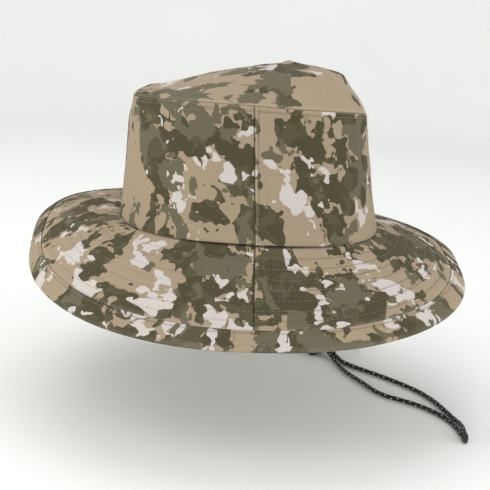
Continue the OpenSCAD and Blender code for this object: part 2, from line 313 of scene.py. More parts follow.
def cloth_for(node, slot, upper, lower, materials, uvs, paint=None):
    """Cloth in place of a CAD node, between two grids of points; its lower face takes the last material."""
    rows, columns = upper.shape[:2]
    count = rows * columns
    number = np.arange(count).reshape(rows, columns)
    border = np.concatenate([number[:-1, 0], number[-1, :-1], number[:0:-1, -1], number[0, :0:-1]])
    after = np.roll(border, -1)
    rim = spread(after, border, border + count, after + count)
    top = grid_quads(rows, columns)
    faces = np.concatenate([top, top[:, ::-1] + count, rim])
    face_material = np.zeros(len(faces), np.int32)
    face_material[len(top) : 2 * len(top)] = len(materials) - 1
    paint = None if paint is None else [paint, paint]
    points, uvs = [upper, lower], [uvs, uvs]
    piece = make_object(node + "_cloth", points, faces, materials, "hat", uvs, paint, face_material)
    return stand_in(piece, node)


def tube(name, path, radius, sides, material, body="hat", lumps=0.0):
    """Closed tube along a path, with uvs in metres along it and round it; lumps is the braid's relief."""
    heading = unit(np.gradient(path, axis=0))
    side = np.zeros_like(path)
    last = np.cross(heading[0], [0, 1, 0])
    for i, h in enumerate(heading):
        last = unit(last - h * (last @ h))
        side[i] = last
    other = np.cross(heading, side)
    turn = np.linspace(0, TAU, sides + 1)
    rings = side[:, None] * np.cos(turn)[:, None] + other[:, None] * np.sin(turn)[:, None]
    along = path_lengths(path)
    relief = 1 + lumps * np.sin(TAU * along[:, None] / BRAID_PITCH) * np.cos(4 * turn)
    points = path[:, None] + radius * relief[..., None] * rings
    uvs = spread(along[:, None], turn * radius)
    faces = [face[::-1] for face in capped_rings(len(path), sides)]
    return make_object(name, points, faces, [material], body, uvs)


def curve_through(points, count):
    """Smooth curve through the points, with count steps between neighbours."""
    p = np.array(points, float)
    p = np.concatenate([[2 * p[0] - p[1]], p, [2 * p[-1] - p[-2]]])
    f = np.linspace(0, 1, count, endpoint=False)[:, None]
    parts = []
    for a, b, c, d in zip(p[:-3], p[1:-2], p[2:-1], p[3:]):
        cubic = (-a + 3 * b - 3 * c + d) * f ** 3 + (2 * a - 5 * b + 4 * c - d) * f ** 2
        parts.append((cubic + (c - a) * f + 2 * b) / 2)
    return np.concatenate(parts + [p[-2:-1]])


# ---- Materials ----


class Shader:
    """A node material with a Principled shader, and short ways to add nodes to it."""

    def __init__(self, name, **values):
        self.material = bpy.data.materials.new(name)
        self.material.use_nodes = True
        self.tree = self.material.node_tree
        self.surface = self.tree.nodes["Principled BSDF"]
        for key, value in values.items():
            self.surface.inputs[key.replace("_", " ")].default_value = value

    def put(self, socket, value):
        if isinstance(value, bpy.types.NodeSocket):
            self.tree.links.new(value, socket)
        else:
            socket.default_value = value

    def add(self, kind, inputs=(), **settings):
        node = self.tree.nodes.new("ShaderNode" + kind)
        for key, value in settings.items():
            setattr(node, key, value)
        for key, value in dict(inputs).items():
            self.put(node.inputs[key], value)
        return node

    def math(self, operation, a, b=0.0, c=0.0):
        node = self.add("Math", operation=operation)
        for socket, value in zip(node.inputs, (a, b, c)):
            self.put(socket, value)
        return node.outputs[0]

    def vector(self, operation, a, b):
        node = self.add("VectorMath", operation=operation)
        self.put(node.inputs[0], a)
        self.put(node.inputs[3 if operation == "SCALE" else 1], b)
        return node.outputs[0]

    def noise(self, at, size, detail=2.0, roughness=0.5, distortion=0.0, output="Fac"):
        """Noise from 0 to 1 with features about as large as size."""
        node = self.add("TexNoise", {
            "Vector": at, "Scale": 1 / size, "Detail": detail, "Roughness": roughness,
            "Distortion": distortion,
        })
        return node.outputs[output]

    def cells(self, at, size):
        """Distance to the nearest of many scattered points, as a share of size, their spacing."""
        node = self.add("TexVoronoi", {"Vector": at, "Scale": 1 / size}, voronoi_dimensions="2D")
        return node.outputs["Distance"]

    def between(self, value, low, high, to_low=0.0, to_high=1.0):
        node = self.add("MapRange", {
            "Value": value, "From Min": low, "From Max": high, "To Min": to_low, "To Max": to_high,
        })
        return node.outputs[0]

    def mix(self, share, a, b, blend="MIX"):
        node = self.add("Mix", data_type="RGBA", blend_type=blend)
        self.put(node.inputs[0], share)
        self.put(node.inputs[6], a)
        self.put(node.inputs[7], b)
        return node.outputs[2]

    def finish(self, colour, height=None, distance=0.0, strength=1.0):
        """The material, with its colour and a bump; height is from 0 to 1, of the distance."""
        self.put(self.surface.inputs["Base Color"], colour)
        if height is not None:
            node = self.add("Bump", {"Height": height, "Distance": distance, "Strength": strength})
            self.put(self.surface.inputs["Normal"], node.outputs[0])
        return self.material

    def cloth_at(self):
        """The place on the cloth, in metres."""
        return self.add("UVMap", uv_map="cloth").outputs[0]

    def object_at(self):
        """The place in the hat's frame, in metres."""
        return self.add("TexCoord").outputs["Object"]

    def split(self, vector):
        return self.add("SeparateXYZ", {0: vector}).outputs

    def wave(self, along, period, phase=0.0):
        """Sine from 0 to 1 along a length in metres."""
        turned = self.math("MULTIPLY_ADD", along, TAU / period, phase)
        return self.math("MULTIPLY_ADD", self.math("SINE", turned), 0.5, 0.5)


def srgb(r, g, b):
    """Linear colour from sRGB values out of 255."""
    linear = [((c / 255 + 0.055) / 1.055) ** 2.4 if c > 10 else c / 255 / 12.92 for c in (r, g, b)]
    return (*linear, 1.0)


TAN = srgb(157, 143, 118)
TAN_PINK = srgb(156, 137, 116)
OLIVE = srgb(76, 71, 52)
OLIVE_MID = srgb(86, 81, 62)
GREEN = srgb(101, 96, 77)
WHITE = srgb(194, 187, 182)
WORN = srgb(196, 186, 166)
REVERSE = srgb(190, 178, 156)
# Colour of the painted shade beside stitch rows and seams
PAINTED_SHADE = srgb(30, 28, 21)

# Each kind of patch: its size, where in the noise it is taken from, the noise's detail, its outline's blur
PATCH_NOISE = {
    "olive": (32 * MM, 1.1, 2.5, 0.003),
    "green": (24 * MM, 2.3, 2.0, 0.005),
    "white": (22 * MM, 3.7, 2.5, 0.003),
}
# Where the olive is washed out: size, detail and roughness of the noise, and the levels it begins between
WASHED_NOISE, WASHED_LEVELS = (14 * MM, 3.0, 0.6), (0.54, 0.55)
# The patches' outlines are moved about twice: size of the moves, their detail and their reach
WARPS = [(20 * MM, 1.5, 22 * MM), (6 * MM, 1.0, 6 * MM)]
# How much of the noise lies above each level is how much of the cloth each kind covers
CUTS = {"olive": 0.505, "green": 0.575, "white": 0.6}
# Hinted patches: how much larger than their radius, and how faint the hint is between them
PATCH_GROWTH = {"olive": 1.35, "green": 1.0, "white": 0.9}
PATCH_FAINTEST = {"olive": -0.3, "green": -0.45, "white": -0.75}
PATCH_STRONGEST = 0.9
# How much a hint adds to the noise
HINT_SHARE = 0.26
# How much fainter the hints are where the print is bare
BARE_DEPTH = 0.6
# Leaf lobes on the patches' outlines: size and depth; CELL_MEAN is their mean height
LOBES = [(6.5 * MM, 0.09), (3.2 * MM, 0.045)]
CELL_MEAN = 0.45
# Painted shade beside stitch rows and seams, where their valleys and creases fall dark: full up to the first
# distance, gone from the second, and its strength
ROW_SHADE = (0.1 * MM, 0.8 * MM, 0.28)
SEAM_SHADE = (0.3 * MM, 1.2 * MM, 0.9)
WEAVE_PITCH = 0.55 * MM
# The cloth's grain: the weave's share in it, its lowest and highest level, and how dark and light those are
WEAVE_SHARE = 0.35
GRAIN = (0.3, 1.1, 0.88, 1.09)
TWIST_PITCH = 0.6 * MM


def camo(name, fade=0.0):
    """Camouflage cloth: olive, grey-green and white patches with leafy edges, printed on tan.

    The piece's paint attribute holds hints: where olive, green and white lie, and where the cloth is worn;
    its seams attribute sets the painted shade beside stitch rows and seams.
    """
    s = Shader(name, Roughness=0.85, Sheen_Weight=0.02, Sheen_Roughness=0.5, Specular_IOR_Level=0.08)
    at = s.cloth_at()
    hint = s.add("Attribute", attribute_name="paint")
    olive_hint, green_hint, white_hint = s.split(hint.outputs["Vector"])
    wear = hint.outputs["Alpha"]
    row_off, seam_off, _ = s.split(s.add("Attribute", attribute_name="seams").outputs["Vector"])

    leafy = at
    for size, detail, reach in WARPS:
        away = s.vector("SUBTRACT", s.noise(leafy, size, detail, output="Color"), (0.5, 0.5, 0.5))
        leafy = s.vector("ADD", leafy, s.vector("SCALE", away, reach))

    def patches(kind, hint_value):
        size, shift, detail, blur = PATCH_NOISE[kind]
        place = s.vector("ADD", leafy, (shift, -shift, shift))
        field = s.noise(place, size, detail, 0.55)
        for lobe, depth in LOBES:
            field = s.math("MULTIPLY_ADD", s.cells(place, lobe), -depth, field)
            field = s.math("ADD", field, depth * CELL_MEAN)
        field = s.math("MULTIPLY_ADD", hint_value, HINT_SHARE, field)
        return s.between(field, CUTS[kind] - blur, CUTS[kind] + blur)

    washed = s.between(s.noise(leafy, *WASHED_NOISE), *WASHED_LEVELS)
    olive = s.mix(washed, OLIVE, OLIVE_MID)
    colour = s.mix(s.noise(at, 50 * MM, 1.0), TAN, TAN_PINK)
    for kind, kind_hint, ink in zip(CUTS, (olive_hint, green_hint, white_hint), (olive, GREEN, WHITE)):
        colour = s.mix(patches(kind, kind_hint), colour, ink)

    colour = s.mix(s.math("MULTIPLY", wear, s.noise(at, 4 * MM, 3.0)), colour, WORN)
    if fade:
        colour = s.mix(fade, colour, REVERSE)
    x, y, _ = s.split(at)
    weave = s.math("MULTIPLY", s.wave(x, WEAVE_PITCH), s.wave(y, WEAVE_PITCH))
    yarn = s.noise(at, 1.2 * MM, 2.0)
    shade = s.between(s.math("MULTIPLY_ADD", weave, WEAVE_SHARE, yarn), *GRAIN)
    grey = s.add("CombineColor", {0: shade, 1: shade, 2: shade}).outputs[0]
    woven = s.mix(1.0, colour, grey, "MULTIPLY")
    uneven = s.math("MULTIPLY_ADD", s.noise(at, 3 * MM, 2.0), 0.7 * MM, -0.3 * MM)
    # Painted shade: the cloth is darkened beside stitch rows and seams, where their valleys and creases fall
    # dark
    row_shade = s.between(s.math("ADD", row_off, uneven), *ROW_SHADE, 0.0)
    seam_shade = s.between(seam_off, *SEAM_SHADE, 0.0)
    shaded = s.mix(s.math("MAXIMUM", row_shade, seam_shade), woven, PAINTED_SHADE)
    return s.finish(shaded, s.math("MULTIPLY_ADD", yarn, 0.8, weave), 0.12 * MM, 0.5)


def plain_cloth(name, light, dark, twill=0.9 * MM, roughness=0.85):
    """Undyed or plain dyed cloth with a twill line and uneven dye."""
    s = Shader(name, Roughness=roughness, Sheen_Weight=0.15, Specular_IOR_Level=0.2)
    at = s.cloth_at()
    x, y, _ = s.split(at)
    line = s.wave(s.math("ADD", x, y), twill)
    across = s.wave(s.math("SUBTRACT", x, y), twill / 2)
    uneven = s.noise(at, 6 * MM, 4.0, 0.6)
    share = s.math("MULTIPLY_ADD", uneven, 0.75, s.math("MULTIPLY", line, 0.25))
    dyed = s.mix(share, dark, light)
    return s.finish(dyed, s.math("MULTIPLY_ADD", across, 0.4, line), 0.15 * MM, 0.6)


def thread_material():
    """Spun thread: fine twist and uneven dye."""
    s = Shader("thread", Roughness=0.6, Sheen_Weight=0.2)
    x, y, _ = s.split(s.cloth_at())
    twist = s.wave(s.math("ADD", x, y), TWIST_PITCH)
    return s.finish(s.mix(twist, srgb(104, 96, 76), srgb(140, 130, 106)), twist, 0.06 * MM, 0.6)


def cord_material():
    """Black braid with a pale fleck every few millimetres."""
    s = Shader("cord_braid", Roughness=0.6, Sheen_Weight=0.02, Specular_IOR_Level=0.3)
    along, round_it, _ = s.split(s.cloth_at())
    circle = TAU * CORD_D / 2

    def strands(lean):
        return s.wave(s.math("MULTIPLY_ADD", along, lean, round_it), circle / STRANDS)

    def near_middle(place, full, gone):
        """1 where the place, as a fraction of its step, is nearer its middle than full, and 0 beyond gone."""
        off = s.math("ABSOLUTE", s.math("SUBTRACT", s.math("FRACT", place), 0.5))
        return s.between(off, full, gone, 1.0, 0.0)

    braid = s.math("MAXIMUM", strands(0.62), strands(-0.62))
    row = s.math("DIVIDE", along, FLECK_STEP)
    column = s.math("DIVIDE", round_it, circle / FLECK_COLUMNS)
    column = s.math("MULTIPLY_ADD", s.math("FLOOR", row), 0.5, column)
    fleck = s.math("MULTIPLY", near_middle(row, 0.10, 0.13), near_middle(column, 0.17, 0.21))
    black = s.mix(braid, srgb(5, 5, 6), srgb(22, 22, 24))
    return s.finish(s.mix(fleck, black, srgb(190, 188, 180)), braid, 0.2 * MM, 0.8)


def whipping_material():
    """Black thread wound round a cord's end, with painted sheen along its twist."""
    s = Shader("whipping_thread", Roughness=0.5, Sheen_Weight=0.1)
    along, round_it, _ = s.split(s.cloth_at())
    twist = s.wave(s.math("MULTIPLY_ADD", along, 2.0, round_it), TWIST_PITCH)
    # Painted sheen: the black is lightened along the twist where the noise is high
    painted_sheen = s.math("MULTIPLY", twist, s.noise(s.cloth_at(), 1 * MM, 2.0))
    return s.finish(s.mix(painted_sheen, srgb(10, 10, 11), srgb(46, 46, 48)), twist, 0.06 * MM, 0.7)


def plastic_material():
    """Moulded black plastic: fine grain, and scuffed lighter in places."""
    s = Shader("lock_plastic", Roughness=0.42, Specular_IOR_Level=0.5)
    at = s.object_at()
    grain = s.noise(at, 0.5 * MM, 3.0, 0.7)
    scuff = s.between(s.noise(at, 3 * MM, 5.0, 0.7), 0.55, 0.8, 0.0, 0.35)
    return s.finish(s.mix(scuff, srgb(17, 17, 18), srgb(70, 70, 72)), grain, 0.05 * MM, 0.5)


def steel_material():
    """Drawn spring wire with a slight oil tint."""
    s = Shader("spring_steel", Metallic=1.0, Roughness=0.3)
    at = s.object_at()
    tint = s.mix(s.noise(at, 1 * MM, 3.0), srgb(150, 150, 152), srgb(205, 204, 200))
    return s.finish(tint, s.noise(at, 0.2 * MM, 2.0), 0.02 * MM, 0.4)


def studio_material():
    """Matt pale floor with a barely uneven tone."""
    s = Shader("studio_floor", Roughness=0.9, Specular_IOR_Level=0.15)
    uneven = s.noise(s.object_at(), 400 * MM, 2.0)
    return s.finish(s.mix(uneven, srgb(233, 234, 232), srgb(238, 239, 237)))


# ---- Camera, light and stage ----

# The camera, fitted to the photo; its lens is in millimetres
VIEW_AZIMUTH, VIEW_ELEVATION, VIEW_ROLL = (math.radians(x) for x in (-3.11, 12.63, 3.63))
VIEW_DISTANCE = 650.2 * MM
VIEW_TARGET = Vector((-3.1 * MM, -43.7 * MM, -11.0 * MM))
LENS = 74.46
WORLD_TINT, WORLD_STRENGTH = (0.97, 0.98, 1.0, 1.0), 0.69
# Round lamps, all turned to the origin: place, size, power in watts and tint
LAMPS = {
    "key": ((-0.8, -1.0, 1.5), 1.2, 7, (1.0, 0.985, 0.96)),
    "fill": ((1.2, -0.8, 0.9), 1.4, 3.5, (0.97, 0.98, 1.0)),
    "top": ((-0.1, 0.5, 1.7), 1.6, 10, (1.0, 0.99, 0.97)),
    "low": ((0.1, -1.7, 0.4), 0.7, 4, (1.0, 1.0, 1.0)),
    "low_left": ((-1.5, -0.3, 0.35), 0.6, 8, (1.0, 0.99, 0.97)),
    "low_right": ((1.4, -0.4, 0.3), 0.5, 4, (1.0, 1.0, 1.0)),
}
# The stage: a flat floor that bends up into a wall
STAGE_RADIUS, STAGE_BEND, STAGE_WALL = 2.2, 0.6, 1.0
STAGE_FLAT = (0.001, 0.5, 1.1, STAGE_RADIUS - STAGE_BEND)


def add_camera():
    level = Vector((math.cos(VIEW_AZIMUTH), math.sin(VIEW_AZIMUTH), 0))
    away = Vector((math.sin(VIEW_AZIMUTH), -math.cos(VIEW_AZIMUTH), 0))
    back = away * math.cos(VIEW_ELEVATION) + Vector((0, 0, math.sin(VIEW_ELEVATION)))
    upright = back.cross(level)
    right = level * math.cos(VIEW_ROLL) + upright * math.sin(VIEW_ROLL)
    up = upright * math.cos(VIEW_ROLL) - level * math.sin(VIEW_ROLL)
    camera = add_object("camera", bpy.data.cameras.new("camera"))
    camera.data.lens = LENS
    camera.data.clip_start = 10 * MM
    turned = Matrix((right, up, back)).transposed().to_4x4()
    camera.matrix_world = Matrix.Translation(VIEW_TARGET + back * VIEW_DISTANCE) @ turned
    bpy.context.scene.camera = camera


def add_lamp(name, place, size, power, tint):
    light = bpy.data.lights.new(name, "AREA")
    light.shape = "DISK"
    light.size = size
    light.energy = power
    light.color = tint
    lamp = add_object(name, light)
    lamp.location = place
    lamp.rotation_euler = (-Vector(place)).to_track_quat("-Z", "Y").to_euler()


def add_stage():
    """A round pale floor that curves up into a low wall far from the hat."""
    turn = np.linspace(-math.pi / 2, 0, 12)[1:]
    r = np.concatenate([STAGE_FLAT, STAGE_RADIUS - STAGE_BEND * (1 - np.cos(turn)), [STAGE_RADIUS]])
    bent = STAGE_BEND * (1 + np.sin(turn))
    z = STAGE_Z + np.concatenate([np.zeros(len(STAGE_FLAT)), bent, [STAGE_BEND + STAGE_WALL]])
    around = np.linspace(0, TAU, 97)
    points = spread(r[:, None] * np.cos(around), r[:, None] * np.sin(around), z[:, None])
    faces = grid_quads(len(r), len(around)).tolist() + [list(range(len(around) - 1))]
    mesh = make_mesh("studio_floor", points, faces, [studio_material()])
    add_object("studio_floor", mesh)


def add_studio():
    scene = bpy.context.scene
    scene.view_settings.view_transform = "Standard"
    world = bpy.data.worlds.new("studio")
    world.use_nodes = True
    background = world.node_tree.nodes["Background"].inputs
    background["Color"].default_value = WORLD_TINT
    background["Strength"].default_value = WORLD_STRENGTH
    scene.world = world
    for name, lamp in LAMPS.items():
        add_lamp(name, *lamp)


add_camera()
add_studio()
add_stage()

# ---- Chin cords ----

TAB_X, TAB_Y, TAB_BOTTOM = 82 * MM, 22 * MM, -11 * MM

# Routes in millimetres, as in the CAD model
ROUTE_LEFT = [
    (-82, 22, -5), (-82, 22, -13), (-80.5, 24, -22), (-77.5, 28, -33), (-72.5, 34, -49),
    (-67, 41, -65), (-61, 47.5, -79), (-54.5, 55, -92), (-48, 63, -102.5), (-41, 71, -111),
    (-33.5, 79.5, -117.5), (-25.5, 89, -121.5), (-17, 98.5, -123.5), (-7, 106, -123.5),
    (4, 110.5, -123.5), (15, 112, -123.5), (26, 110.5, -123), (37.5, 105.5, -121.5),
    (49.5, 98, -120), (57.5, 92, -120), (65.5, 86, -120), (71.5, 81.5, -120),
    (75, 76.5, -121.5), (77.5, 68, -123.2), (79.5, 58, -123.5), (81.5, 47, -123.5),
    (85, 36, -123.5), (89.5, 25.5, -123.5), (94, 15, -123.5), (98.5, 4, -123.5),
    (105, -5.5, -123.5), (114, -12.5, -123.5), (123, -19.5, -123.5), (131, -28.5, -123.5),
    (137, -38, -123.5), (141, -48, -123.5), (143, -59, -123.5), (143.5, -69, -123.5),
    (143.5, -78, -123.5),
]
ROUTE_RIGHT = [
    (82, 22, -5), (82, 22, -13), (83, 26, -24), (84.5, 32, -39), (86.5, 39.5, -54.5),
    (88.5, 47.5, -69), (90.5, 56.5, -83.5), (92.5, 66, -96), (95, 77, -107),
    (97.5, 88, -114.5), (100.5, 98.5, -120), (103, 108, -122.8), (103.5, 118, -123.5),
    (100, 128, -123.5), (91.5, 136, -123.5), (80, 140, -123.5), (68, 140, -123.5),
    (56.5, 136, -123.5), (47, 129, -123.5), (42, 119.5, -123), (44.5, 109, -121.5),
    (52.5, 102, -120), (60.5, 96, -120), (68.5, 90, -120), (74.5, 85.5, -120),
    (78, 80.5, -121.3), (80.5, 72.5, -122.8), (84.5, 62.5, -123.5), (91.5, 53, -123.5),
    (100, 44, -123.5), (108.5, 35, -123.5), (117, 25, -123.5), (125, 14.5, -123.5),
    (132, 3.5, -123.5), (137, -8.5, -123.5), (140.5, -21, -123.5), (143, -33, -123.5),
    (145.2, -44, -123.5), (146.3, -53.5, -122.6), (145.8, -62, -121.4), (144.5, -70, -120.5),
    (143.5, -78, -120.3),
]

braid = cord_material()
cord_paths = {}
cords = {}
for side, route in (("left", ROUTE_LEFT), ("right", ROUTE_RIGHT)):
    cord_paths[side] = curve_through(route, 24) * MM
    cords[side] = tube(f"chin_cord_{side}_braid", cord_paths[side], CORD_D / 2, 16, braid, lumps=0.06)
    stand_in(cords[side], f"chin_cord_{side}")

# ---- Cloth ----

FRONT, BACK = -90, 90
RIGHT_HALF, LEFT_HALF = (-90, 90), (90, 270)
# A brim half is cut as a sector of a ring with this inner radius
BRIM_CUT_RADIUS = 111 * MM
HALF_SEAM = path_lengths(seam_point(np.radians(np.linspace(-90, 90, 3000))))[-1]
# A side band half is cut as a sector of a ring with this outer radius
SIDE_CUT_RADIUS = 723 * MM

shell = camo("camo_cloth")
shell_inside = camo("camo_cloth_reverse", fade=0.45)
lining = plain_cloth("lining_tape", srgb(168, 154, 126), srgb(140, 127, 102))
band_cloth = plain_cloth("sweatband_cloth", srgb(172, 158, 130), srgb(146, 133, 107), 1.2 * MM)
canvas = plain_cloth("interlining_cloth", srgb(226, 221, 208), srgb(200, 194, 180), 0.7 * MM)
label_cloth = plain_cloth("label_cloth", srgb(240, 238, 230), srgb(222, 219, 208), 0.4 * MM, roughness=0.6)
thread = thread_material()
plastic = plastic_material()


def unsewn(shape):
    """Paint with no hints, no wear and no seam near."""
    paint = np.zeros((*shape, SEAM_OFF + 1))
    paint[..., ROW_OFF:] = 1
    return paint


def hints(x, y, seen, wear, patches):
    """Paint for a piece, with nothing sewn yet: see make_object.

    patches holds (x, y, radius) in millimetres for each kind and for bare ground; seen is the share of the
    hints that counts.
    """
    at = spread(x, y)

    def ragged(place, seed):
        """The place in millimetres, moved about so that the patches aren't round."""
        return place / MM + (7 * noise_field(at, 11 * MM, seed) + 5 * noise_field(at, 4.5 * MM, seed + 1))

    ragged_x, ragged_y = ragged(x, 31), ragged(y, 33)
    paint = unsewn(x.shape)
    bare = 0
    for px, py, radius in patches["bare"]:
        bare = np.maximum(bare, bump(np.hypot(ragged_x - px, ragged_y - py), radius))
    for channel, (kind, level) in enumerate(CUTS.items()):
        best = PATCH_FAINTEST[kind]
        for px, py, radius in patches[kind]:
            away = np.hypot(ragged_x - px, ragged_y - py) / (radius * PATCH_GROWTH[kind])
            best = np.maximum(best, 1 - away)
        best = np.minimum(best, PATCH_STRONGEST) - BARE_DEPTH * bare
        paint[..., channel] = (best + (level - 0.5) / HINT_SHARE) * seen
    paint[..., WEAR] = wear
    return paint


# A stitch: its length, the space to the next one, the thread's radius, and how far its middle stands up
STITCH, STITCH_SPACE = 2.7 * MM, 0.4 * MM
THREAD_R, STITCH_LIFT = 0.14 * MM, 0.12 * MM
# Rings of points along a stitch, and points in each ring
STITCH_RINGS, STITCH_SIDES = 5, 6


def stitch_row(path, up):
    """A row of stitches along a path; up is the cloth's outward direction at each of its points."""
    along = path_lengths(path)
    step = STITCH + STITCH_SPACE
    count = int(along[-1] / step)
    share = np.linspace(0, 1, STITCH_RINGS)
    at = (np.arange(count)[:, None] * step + STITCH_SPACE / 2 + share * STITCH).ravel()

    def along_row(values):
        return spread(*(np.interp(at, along, column) for column in values.T)).reshape(count, STITCH_RINGS, 3)

    where = along_row(path)
    out = unit(along_row(up))
    across = np.cross(out, unit(np.gradient(where, axis=1)))
    arch = np.sin(share * math.pi)
    height = STITCH_LIFT * arch ** 0.6 - THREAD_R * (1 - arch)
    turn = np.linspace(0, TAU, STITCH_SIDES, endpoint=False)
    ring = across[:, :, None] * np.cos(turn)[:, None] + out[:, :, None] * np.sin(turn)[:, None]
    points = (where + out * height[:, None])[:, :, None] + THREAD_R * ring
    first = np.arange(count) * STITCH_RINGS * STITCH_SIDES
    faces = ring_quads(STITCH_RINGS, STITCH_SIDES) + first[:, None, None]
    uvs = spread(at.reshape(count, STITCH_RINGS, 1), turn * THREAD_R)
    return points.reshape(-1, 3), faces.reshape(-1, 4), uvs.reshape(-1, 2)


def stitches(name, rows):
    """One piece from several rows of stitches, each a (path, up) pair."""
    points, faces, uvs = zip(*(stitch_row(path, up) for path, up in rows))
    first = np.cumsum([0] + [len(p) for p in points])
    faces = np.concatenate([f + n for f, n in zip(faces, first)])
    piece = make_object(name, np.concatenate(points), faces, [thread], "hat", np.concatenate(uvs))
    return piece


# Brim

# The binding: direction of its join in degrees, its stitch row, its hem's fullness and its rounded edge
BINDING_JOIN = -95.5
BINDING_STITCH = BINDING_START + 1.9 * MM
BINDING_HEM, BINDING_NOSE = 0.2 * MM, 2.1 * MM
# How far the brim's layers reach inside the crown's outer face, into its seam
TUCK_IN = 1.5 * MM
# How far out each half's stitch rows are shifted
QUILT_SHIFT = {"left": 0.5 * MM, "right": 0.0}
# Heights of the quilting's puff and puckers, and the depth of its valleys
QUILT_PUFF, QUILT_PUCKER, QUILT_VALLEY = 0.14 * MM, 0.13 * MM, 0.26 * MM
# Height of the brim's slow waves
BRIM_WAVE = 1.3 * MM
# Soft corners where the brim is pulled out: direction and half width in degrees, then how far
BRIM_PULLS = [(-14, 17, 3 * MM), (16, 11, 3.5 * MM), (-166, 18, 2.5 * MM)]


def brim_pinch(t):
    """Share of the layers' thickness left towards the bound edge."""
    return 1 - 0.3 * smooth_step((t - BINDING_START) / (BRIM_WIDTH - BINDING_START))


def brim_wave(a, t):
    """Slow waves that all the brim's layers share."""
    spot = spread(np.cos(a) * 2.2, np.sin(a) * 2.2, t / (90 * MM))
    return BRIM_WAVE * smooth_step(t / BRIM_WIDTH) * noise_field(spot, 1.0, 3)


def quilt(a, t, shift):
    """Relief of a quilted face: valleys on the stitch rows, small puckers beside them."""
    row = np.round((t - shift) / PITCH)
    off = t - shift - row * PITCH
    stitched = (row >= 1) & (row <= QUILT_ROWS)
    valley = -QUILT_VALLEY * bump(off, 0.7 * MM) * stitched
    puff = QUILT_PUFF * np.abs(np.sin(math.pi * (t - shift) / PITCH)) ** 0.8 * (t < BINDING_START)
    length = seam_distance(a, -90) * (1 + 0.6 * t / BRIM_WIDTH)
    pucker = QUILT_PUCKER * noise_field(spread(length, t), (5 * MM, 4 * MM), 5)
    return valley + puff + pucker * bump(off, 2.2 * MM) * stitched


def brim_at(a, t, d, shift=None, sign=1):
    """Point of a brim layer, with waves and, where shift is given, quilting on the side sign."""
    a, t, d = np.broadcast_arrays(a, t, d)
    middle = UNDER_BOTTOM / 2
    depth = middle + (d - middle) * brim_pinch(t) + brim_wave(a, t)
    if shift is not None:
        depth = depth + sign * quilt(a, t, shift)
    pulled = sum(length * bump(degrees_from(a, at), width) for at, width, length in BRIM_PULLS)
    pulled = pulled * smooth_step(t / BRIM_WIDTH)
    return brim_point(a, t + pulled, depth)


def brim_up(a, t):
    """Outward direction of the brim's outer face."""
    return brim_point(a, t, 1.0) - brim_point(a, t, 0.0)


def brim_cut(a, t, start):
    """Where a point of a brim half lies on the flat cut."""
    turn = seam_distance(a, start) / BRIM_CUT_RADIUS
    radius = BRIM_CUT_RADIUS + t
    return spread(radius * np.sin(turn), radius * np.cos(turn))


def from_ends(a, start, end):
    """Angle to the nearer of the two ends, which are in degrees."""
    return np.minimum(a - math.radians(start), math.radians(end) - a)


def seam_dip(a, start, end, t, depth, width):
    """The cloth turns down at a half's two ends, where it is sewn to the other half."""
    reach = HEAD_HALF_Y + t
    return -depth * bump(from_ends(a, start, end) * reach, width)


# Where the larger patches lie: along the crown seam from the front seam, and out along the brim
BRIM_PATCHES = {
    "olive": [
        (-36, 4, 8), (-22, 4, 8), (-10, 5, 7), (-36, 17, 5), (-33, 26, 5), (-30, 33, 7),
        (-33, 45, 9), (-26, 38, 6), (-24, 24, 6), (-12, 38, 6), (-82, 14, 5), (-85, 28, 5),
        (-76, 38, 4), (-64, 46, 5), (-112, 14, 4), (-118, 30, 4), (-125, 42, 4), (-130, 20, 5),
        (-150, 30, 6), (-145, 48, 5), (-165, 20, 6), (-106, 52, 3), (12, 6, 9), (30, 8, 8),
        (12, 20, 8), (14, 32, 8), (34, 17, 9), (40, 28, 9), (31, 40, 8), (47, 38, 8),
        (42, 50, 7), (24, 22, 6), (-46, 12, 6), (-16, 21, 5), (-3, 38, 5), (19, 38, 6),
        (27, 47, 6), (52, 45, 6), (50, 18, 6), (26, 34, 5), (-40, 48, 6), (4, 48, 5), (-58, 50, 6),
        (16, 13, 7), (44, 6, 7), (56, 8, 5), (80, 14, 4), (85, 26, 5), (92, 38, 4), (78, 47, 4),
        (110, 20, 6), (120, 34, 5), (135, 44, 6), (150, 25, 7), (165, 40, 6),
    ],
    "green": [
        (-22, 14, 6), (-8, 14, 7), (-4, 24, 5), (-55, 22, 4), (-90, 10, 6), (-78, 24, 5), (-135, 32, 7),
        (-120, 8, 6), (20, 46, 7), (42, 33, 5), (46, 24, 5), (86, 36, 5), (114, 28, 6), (140, 30, 7),
    ],
    "white": [
        (-3, 2, 3), (-19, 22, 3), (-14, 30, 4), (-7, 30, 4), (-18, 35, 4), (-22, 43, 3), (-16, 48, 5),
        (-7, 51, 5), (-47, 29, 4), (-43, 36, 4), (-52, 38, 5), (-50, 46, 5), (-44, 44, 4), (-70, 8, 6),
        (-67, 16, 5), (-60, 8, 4), (-61, 19, 3), (-102, 44, 5), (-95, 40, 5), (-88, 34, 4), (-92, 47, 4),
        (-98, 33, 4), (-120, 36, 3), (21, 5, 3), (24, 12, 3), (25, 27, 3), (30, 33, 3), (31, 42, 3),
        (37, 51, 3), (56, 7, 4), (58, 15, 5), (65, 20, 5), (60, 27, 4), (66, 33, 5), (60, 39, 4),
        (71, 44, 4), (64, 48, 4), (98, 38, 4), (104, 30, 4), (112, 41, 3), (-84, 46, 4), (-112, 26, 4),
        (-78, 50, 4),
    ],
    "bare": [
        (-94, 54, 8), (-104, 24, 8), (-72, 28, 7), (-64, 32, 5), (-118, 42, 7), (66, 27, 5), (80, 34, 6),
    ],
}
